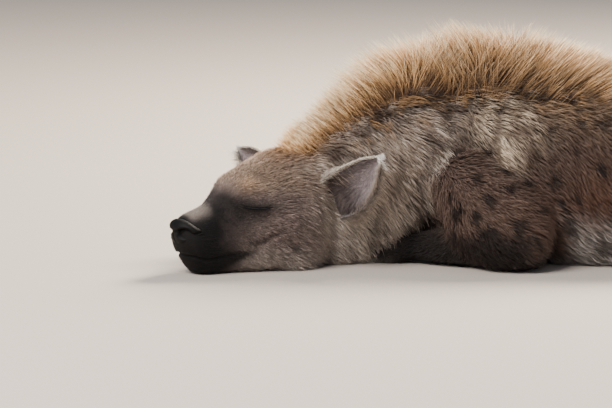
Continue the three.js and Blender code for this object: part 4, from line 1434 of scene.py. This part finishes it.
def makeEar(side):
    form = ears[side]
    bm = bmesh.new()
    size = {"x_segments": earShape["across"], "y_segments": earShape["lengthwise"], "size": 1}
    made = bmesh.ops.create_grid(bm, **size)["verts"]
    flat = np.array([v.co for v in made])
    u, t = np.sin(flat[:, 0] * math.pi / 2), flat[:, 1] / 2 + 0.5
    for v, p in zip(made, earSheet(form, u, t, earShape["sheet"]) * mm):
        v.co = p
    piece = finishMesh(bm, f"ear_skin_{side}")
    wall = piece.modifiers.new("wall", "SOLIDIFY")
    wall.thickness = earShape["wall"] * mm
    wall.offset = 0
    applied(piece)
    p = coords(piece.data) / mm
    t = np.clip(alongEar(p, form), 0, 1)
    u = (p - form["centre"](t)) @ form["wide"] / form["half"](t) * np.sign(form["wide"][2])
    # The skin of the cup is painted at 0.6 of its tone as painted shade in the hollow, and its upper edge
    # takes the pale rim's tone as painted light from behind.
    own = mix(np.tile(tones["earCup"] * 0.6, (len(p), 1)), tones["earRimPaleAndLit"] * 0.8, smooth(0.82, 0.95, u))
    colourLayer(piece.data, own)
    piece.data.materials.append(skinMaterial)
    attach(piece, "root")
    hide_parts(f"ear_{side}")


def growEarHair(side):
    form = ears[side]
    made = []
    for row, (face, values) in enumerate(earFaces.items()):
        count, depth = values["count"], values["depth"]
        u = rng.uniform(-earHair["widest"], earHair["widest"], count)
        if face == "rim":
            u = np.sign(u) * rng.uniform(*earHair["rim"], count)
        t = rng.uniform(*earHair["along"], count)
        upper = u * np.sign(form["wide"][2])
        top = smooth(-0.2, 0.4, upper)
        root = earSheet(form, u, t, depth)
        before, after = (earSheet(form, u, np.clip(t + step, 0, 1), depth) for step in (-0.03, 0.03))
        inward = unit(form["centre"](t) + form["opening"] * 20 - root)
        out = inward if face == "inner" else -inward
        edge = form["wide"] * np.sign(u)[:, None]
        way = unit(after - before) * 0.9 + rng.normal(0, earHair["stray"], (count, 3))
        if face == "inner":
            way = way + inward * 0.35 - edge * (0.7 * np.abs(u))[:, None]
            long = slide(values["long"], t)
            own = np.tile(tones["earCup"], (count, 1))
            # The inner hair is darker near the ear's root and towards the upper edge: painted shade inside
            # the cup.
            own = mix(own, tones["underMane"], smooth(0.4, 0.05, t) * 0.75)
            own = mix(own, tones["underMane"], smooth(0.55, 0.95, upper) * 0.6)
        elif face == "outer":
            way = way + out * 0.25
            long = slide(values["long"], t)
            # The outer hair is paler along the upper edge: painted light from behind.
            pale = smooth(0.7, 1, np.abs(u)) * top * 0.8
            own = mix(np.tile(tones["earBack"], (count, 1)), tones["earRimPaleAndLit"], pale)
        else:
            out = unit(edge + form["opening"] * 0.4)
            turn = rng.uniform(-0.5, 0.9, count)[:, None]
            way = way + edge * turn + form["opening"] * (0.75 - 0.6 * turn)
            way = way - upAxis * 0.7 * (1 - top)[:, None]
            (high, highMore), (low, lowMore) = values["long"]
            long = high + highMore * smooth(0.45, 0.1, t) * top
            long = long + (low + lowMore * smooth(0.4, 0.1, t)) * (1 - top)
            # The rim's hair is pale along the upper rim and half pale on the far ear as painted light from
            # behind; the lower rim is darker, as painted shade.
            pale = np.maximum(top, 0.5 * (side == "right")) * (0.45 + 0.55 * smooth(0.1, 0.4, t))
            own = mix(np.tile(tones["neck"] * 0.55, (count, 1)), tones["earRimPaleAndLit"], pale)
        own = mix(own, tones["earTip"], smooth(0.88, 0.97, t) * (1.0 if face == "rim" else 0.6))
        long = long * rng.uniform(*earHair["lengths"], count)
        wide = values["width"] * rng.uniform(*earHair["widths"], count)
        own = own * rng.uniform(*values["shades"], (count, 1))
        place = np.stack([(row + 0.05 + 0.9 * (u + 1) / 2) / 3, 0.02 + 0.96 * t], -1)
        made.append((root, unit(way), out, long[:, None], wide, own, place))
    root, aim, out, long, wide, own, place = (np.concatenate(column) for column in zip(*made))
    joints = [root - out * earHair["sunk"], root + aim * long * 0.5, root + unit(aim - out * 0.2) * long]
    # The hairs are darker at the root and lighter at the tip: painted shade deep in the coat and painted
    # light on its tips.
    makeTufts(f"coat_ear_{side}", joints, wide, out, shadeAlong(own, (0.6, 0.95, 1.15)), place)


print("stage: ears")
for side in ears:
    makeEar(side)
    growEarHair(side)


# Nose: a black pad with the nostrils and the groove between them.
def leatherMaterial(name, roughness, grain, bump, specular=0.14):
    material, shader = newMaterial(name, roughness, specular)
    cells, colour = addTexture(material, "ShaderNodeTexVoronoi", grain)
    material.node_tree.links.new(colour, shader.inputs["Base Color"])
    addBump(material, shader, cells.outputs["Distance"], bump, 0.0005)
    return material


def plainMaterial(name, code, roughness, specular=0.5):
    material, shader = newMaterial(name, roughness, specular)
    shader.inputs["Base Color"].default_value = (*tone(code), 1)
    return material


def makeNose():
    bm = bmesh.new()
    sweepMesh(bm, noseForm, ballMesh(128, 96))
    piece = finishMesh(bm, "nose_pad")
    co = coords(piece.data) / mm
    normals = skinNormals(piece.data)
    x, y, z = toHead(co).T
    depth = np.zeros(len(co))
    for side in (-1, 1):
        holeY, holeZ = nose["hole"]
        far = np.sqrt(((y - side * holeY) / nose["holeWide"]) ** 2 + (z - holeZ) ** 2)
        depth += nose["nostril"] * smooth(*nose["holeEdge"], far) * (x < nose["front"])
        line = [onHead(back, side * across, up) for back, across, up in nose["slitLine"]]
        far = nearest(co, curveThrough(line)(np.linspace(0, 1, 60)))
        depth += nose["slit"] * np.exp(-((far / nose["slitHalf"]) ** 2))
    inGroove = np.exp(-((y / nose["grooveHalf"]) ** 2)) * smooth(*nose["grooveTop"], z)
    depth += nose["groove"] * inGroove * (x < nose["front"])
    co -= normals * depth[:, None]
    setCoords(piece.data, co * mm)
    # The carved nostrils, slits and groove are painted darker with their depth, down to a tenth of the
    # pad's colour: painted shade in the hollows.
    colour = np.tile(tone(nose["colour"]), (len(co), 1))
    colourLayer(piece.data, mix(colour, colour * 0.1, smooth(*nose["dark"], depth)))
    piece.data.materials.append(leatherMaterial("noseLeather", 0.6, 520, 0.5))
    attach(piece, "root")
    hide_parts("nose")


# Lids: each closed eye is one soft mound on the head's own curve, with the slit sagging across it.
lids = {
    "long": 27, "tall": 16, "stands": 5.4, "rim": -1.0, "back": 5,
    "slitLong": 19, "slitTop": 1.5, "sag": 5, "slit": 2.4, "half": 1.0,
    "lips": [(1.0, 3, 1.9), (0.7, -2.8, 1.6)], "crease": (0.8, 9, 1.4),
    "hairs": 2600, "lashes": 110, "reach": 0.9, "hairLong": (3.2, 5.6), "lashLonger": 1.4,
    "hairWide": (0.5, 0.75), "bare": 1.1, "castFrom": 12, "darkLids": 3.9, "darkHair": 3.5,
}


def slitHeight(x):
    return lids["slitTop"] - lids["sag"] * (1 - (x / lids["slitLong"]) ** 2)


def lidPlace(x, y, side):
    # a place on the lids: x back along the head and y up from the eye's middle
    at, back, up, out = headPlaceFrame(head["eye"][0] + x, head["eye"][1] + y, side)
    hits = [skin.ray_cast(Vector(a * mm), Vector(-b)) for a, b in zip(at + out * lids["castFrom"], out)]
    at = np.array([hit[1] if hit[0] else a * mm for hit, a in zip(hits, at)]) / mm
    r2 = (x / lids["long"]) ** 2 + (y / lids["tall"]) ** 2
    gap = y - slitHeight(x)
    ends = smooth(1.15, 0.9, np.abs(x) / lids["slitLong"])
    z = lids["rim"] + lids["stands"] * np.maximum(0, 1 - r2) ** 1.1
    z = z - ends * lids["slit"] * np.exp(-((gap / lids["half"]) ** 2))
    for high, middle, half in lids["lips"]:
        z = z + ends * high * np.exp(-(((gap - middle) / half) ** 2))
    deep, middle, half = lids["crease"]
    z = z - deep * np.exp(-(((gap - middle) / half) ** 2)) * smooth(1, 0.6, r2)
    return at, back, up, out, z, gap, ends, r2


def paintFace(p):
    onlyHead = np.eye(len(names))[names.index("head")]
    return paint(p, np.tile(onlyHead, (len(p), 1)))


def makeLids(side, word):
    piece = finishMesh(copyOf(ballMesh(128, 96)), f"eyelids_{word}")
    ball = coords(piece.data)
    x, y = ball[:, 0] * lids["long"], ball[:, 1] * lids["tall"]
    at, back, up, out, front, gap, ends, r2 = lidPlace(x, y, side)
    z = np.where(ball[:, 2] > 0, front, lids["rim"] + ball[:, 2] * lids["back"])
    p = at + out * z[:, None]
    setCoords(piece.data, p * mm)
    # The lids take 0.7 of the face's colour, and near black along the slit: dark lid margins with painted
    # shade in the slit.
    colour = paintFace(p) * 0.7
    dark = ends * np.exp(-((gap / lids["darkLids"]) ** 2))
    colourLayer(piece.data, mix(colour, tones["mask"] * 0.2, dark))
    piece.data.materials.append(skinMaterial)
    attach(piece, "root")
    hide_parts(f"eyelid_upper_{word}", f"eyelid_lower_{word}")


def growLidHair(side, word):
    # short hair over the lids, and lashes along the slit
    x = rng.uniform(-1, 1, lids["hairs"]) * lids["reach"] * lids["long"]
    y = rng.uniform(-1, 1, lids["hairs"]) * lids["reach"] * lids["tall"]
    lash = np.arange(lids["hairs"]) < lids["lashes"]
    x[lash] = np.linspace(-0.95, 1.0, lids["lashes"]) * lids["slitLong"]
    y[lash] = slitHeight(x[lash]) + 1.0
    at, back, up, out, z, gap, ends, r2 = lidPlace(x, y, side)
    grows = (r2 < lids["reach"] ** 2) & ((np.abs(gap) > lids["bare"]) | (ends < 0.3)) | lash
    kept = (a[grows] for a in (at, back, up, out, x, y, z, gap, ends, lash))
    at, back, up, out, x, y, z, gap, ends, lash = kept
    root = at + out * z[:, None]
    turn = np.where(gap < 0, -0.5, 0.3) + rng.normal(0, 0.15, len(x))
    way = unit(back + up * turn[:, None] + out * 0.28)
    way[lash] = unit(back * 0.25 - up * 0.7 + out * 0.55)[lash]
    long = rng.uniform(*lids["hairLong"], len(x)) * np.where(lash, lids["lashLonger"], 1.0)
    own = paintFace(root) * rng.uniform(0.75, 1.25, (len(x), 1))
    # Lashes are dark, and the hair next to the slit is darkened: painted shade in the slit.
    own = mix(own, tones["mask"] * 0.4, np.maximum(lash, ends * np.exp(-((gap / lids["darkHair"]) ** 2))))
    place = np.stack([x / lids["long"] * 0.49 + 0.5, y / lids["tall"] * 0.49 + 0.5], -1)
    wide = rng.uniform(*lids["hairWide"], len(x))
    joints = [root - out * 0.4, root + way * long[:, None]]
    # The lids' hairs are darker at the root and lighter at the tip: painted shade and painted light.
    makeTufts(f"coat_lids_{word}", joints, wide, out, shadeAlong(own, (0.7, 1.15)), place)


# Whiskers: a few fine stiff hairs on each side of the muzzle and over the eye.
whiskers = {
    "muzzle": [(34, 66), (44, 62), (54, 57), (40, 54), (50, 49)], "brow": [(112, 140), (118, 143)],
    "width": 0.45, "muzzleLong": (26, 42), "browLong": (20, 28), "jitter": 3, "sunk": 3,
    "out": 0.7, "back": (0.7, 1.1), "up": (-0.35, 0.15),
}


def growWhiskers():
    joints, outs = [[], [], []], []
    for side in (-1, 1):
        for x, z in whiskers["muzzle"] * 2 + whiskers["brow"]:
            x = x + rng.uniform(-whiskers["jitter"], whiskers["jitter"])
            z = z + rng.uniform(-whiskers["jitter"], whiskers["jitter"])
            at, back, up, out = (a[0] for a in headPlaceFrame(x, z, side))
            long = rng.uniform(*whiskers["muzzleLong" if z < 100 else "browLong"])
            way = out * whiskers["out"] + back * rng.uniform(*whiskers["back"])
            way = unit(way + up * rng.uniform(*whiskers["up"]))
            root = at - out * whiskers["sunk"]
            outs.append(up)
            joints[0].append(root)
            joints[1].append(root + way * long * 0.55)
            joints[2].append(root + way * long * 0.94 + (back * 0.5 - up * 0.5) * long * 0.14)
    total = len(outs)
    colours = np.tile(tones["spot"], (total, 1)) * rng.uniform(0.6, 1.6, (total, 1))
    place = np.stack([(np.arange(total) + 0.5) / total, np.full(total, 0.5)], -1)
    wide = np.full(total, whiskers["width"])
    joints = [np.array(j) for j in joints]
    makeTufts("whiskers", joints, wide, np.array(outs), shadeAlong(colours, (1, 1, 1)), place)


# Claws: dark horn at the end of every toe.
clawShape = {"colour": "2b231e", "roughness": 0.38, "around": 16, "lengthwise": 14}


def makeClaws():
    horn = plainMaterial("clawHorn", clawShape["colour"], clawShape["roughness"])
    ball = ballMesh(clawShape["around"], clawShape["lengthwise"])
    for word, claws in clawForms.items():
        bm = bmesh.new()
        for claw in claws:
            sweepMesh(bm, claw, ball)
        piece = finishMesh(bm, f"claws_{word}")
        piece.data.materials.append(horn)
        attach(piece, "root")
        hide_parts(*[f"claw_{word}_{i}" for i in (1, 2, 3, 4)])


print("stage: nose, lids and claws")
makeNose()
for side, word in ((1, "left"), (-1, "right")):
    makeLids(side, word)
    growLidHair(side, word)
growWhiskers()
makeClaws()

# Stage: a pale floor, soft studio light and the photograph's view.
view = {"lens": 276.8, "rise": 8, "at": (-363.8, -7910, 1200), "farthest": 60000}
light = {
    "fill": 0.48, "sky": (0.85, 0.87, 1.0, 1), "aim": (-150, 0, 150),
    "floor": "b7aea4", "floorHalf": 20000,
}
# Each lamp: its place, its size, its power in watts and its colour.
lamps = {
    "key": ((-1800, -2200, 2600), 2000, 222, (1.0, 0.95, 0.91)),
    "rim": ((1400, 2000, 2400), 1400, 560, (1.0, 0.88, 0.74)),
}


def makeStage():
    bm = bmesh.new()
    bmesh.ops.create_grid(bm, x_segments=1, y_segments=1, size=light["floorHalf"] * mm)
    floor = finishMesh(bm, "floor")
    floor.data.materials.append(plainMaterial("paleFloor", light["floor"], 0.8, specular=0.2))
    world = bpy.data.worlds.new("studio")
    bpy.context.scene.world = world
    world.use_nodes = True
    world.node_tree.nodes["Background"].inputs["Color"].default_value = light["sky"]
    world.node_tree.nodes["Background"].inputs["Strength"].default_value = light["fill"]
    for name, (at, size, power, colour) in lamps.items():
        data = bpy.data.lights.new(name, "AREA")
        data.size = size * mm
        data.energy = power
        data.color = colour
        lamp = bpy.data.objects.new(name, data)
        lamp.location = Vector(at) * mm
        lamp.rotation_euler = (Vector(light["aim"]) - Vector(at)).to_track_quat("-Z", "Y").to_euler()
        bpy.context.scene.collection.objects.link(lamp)
    data = bpy.data.cameras.new("camera")
    data.lens = view["lens"]
    data.clip_end = view["farthest"] * mm
    camera = bpy.data.objects.new("camera", data)
    camera.location = [c * mm for c in view["at"]]
    camera.rotation_euler = (math.radians(90 - view["rise"]), 0, 0)
    bpy.context.scene.collection.objects.link(camera)
    bpy.context.scene.camera = camera


print("stage: floor, light and camera")
makeStage()
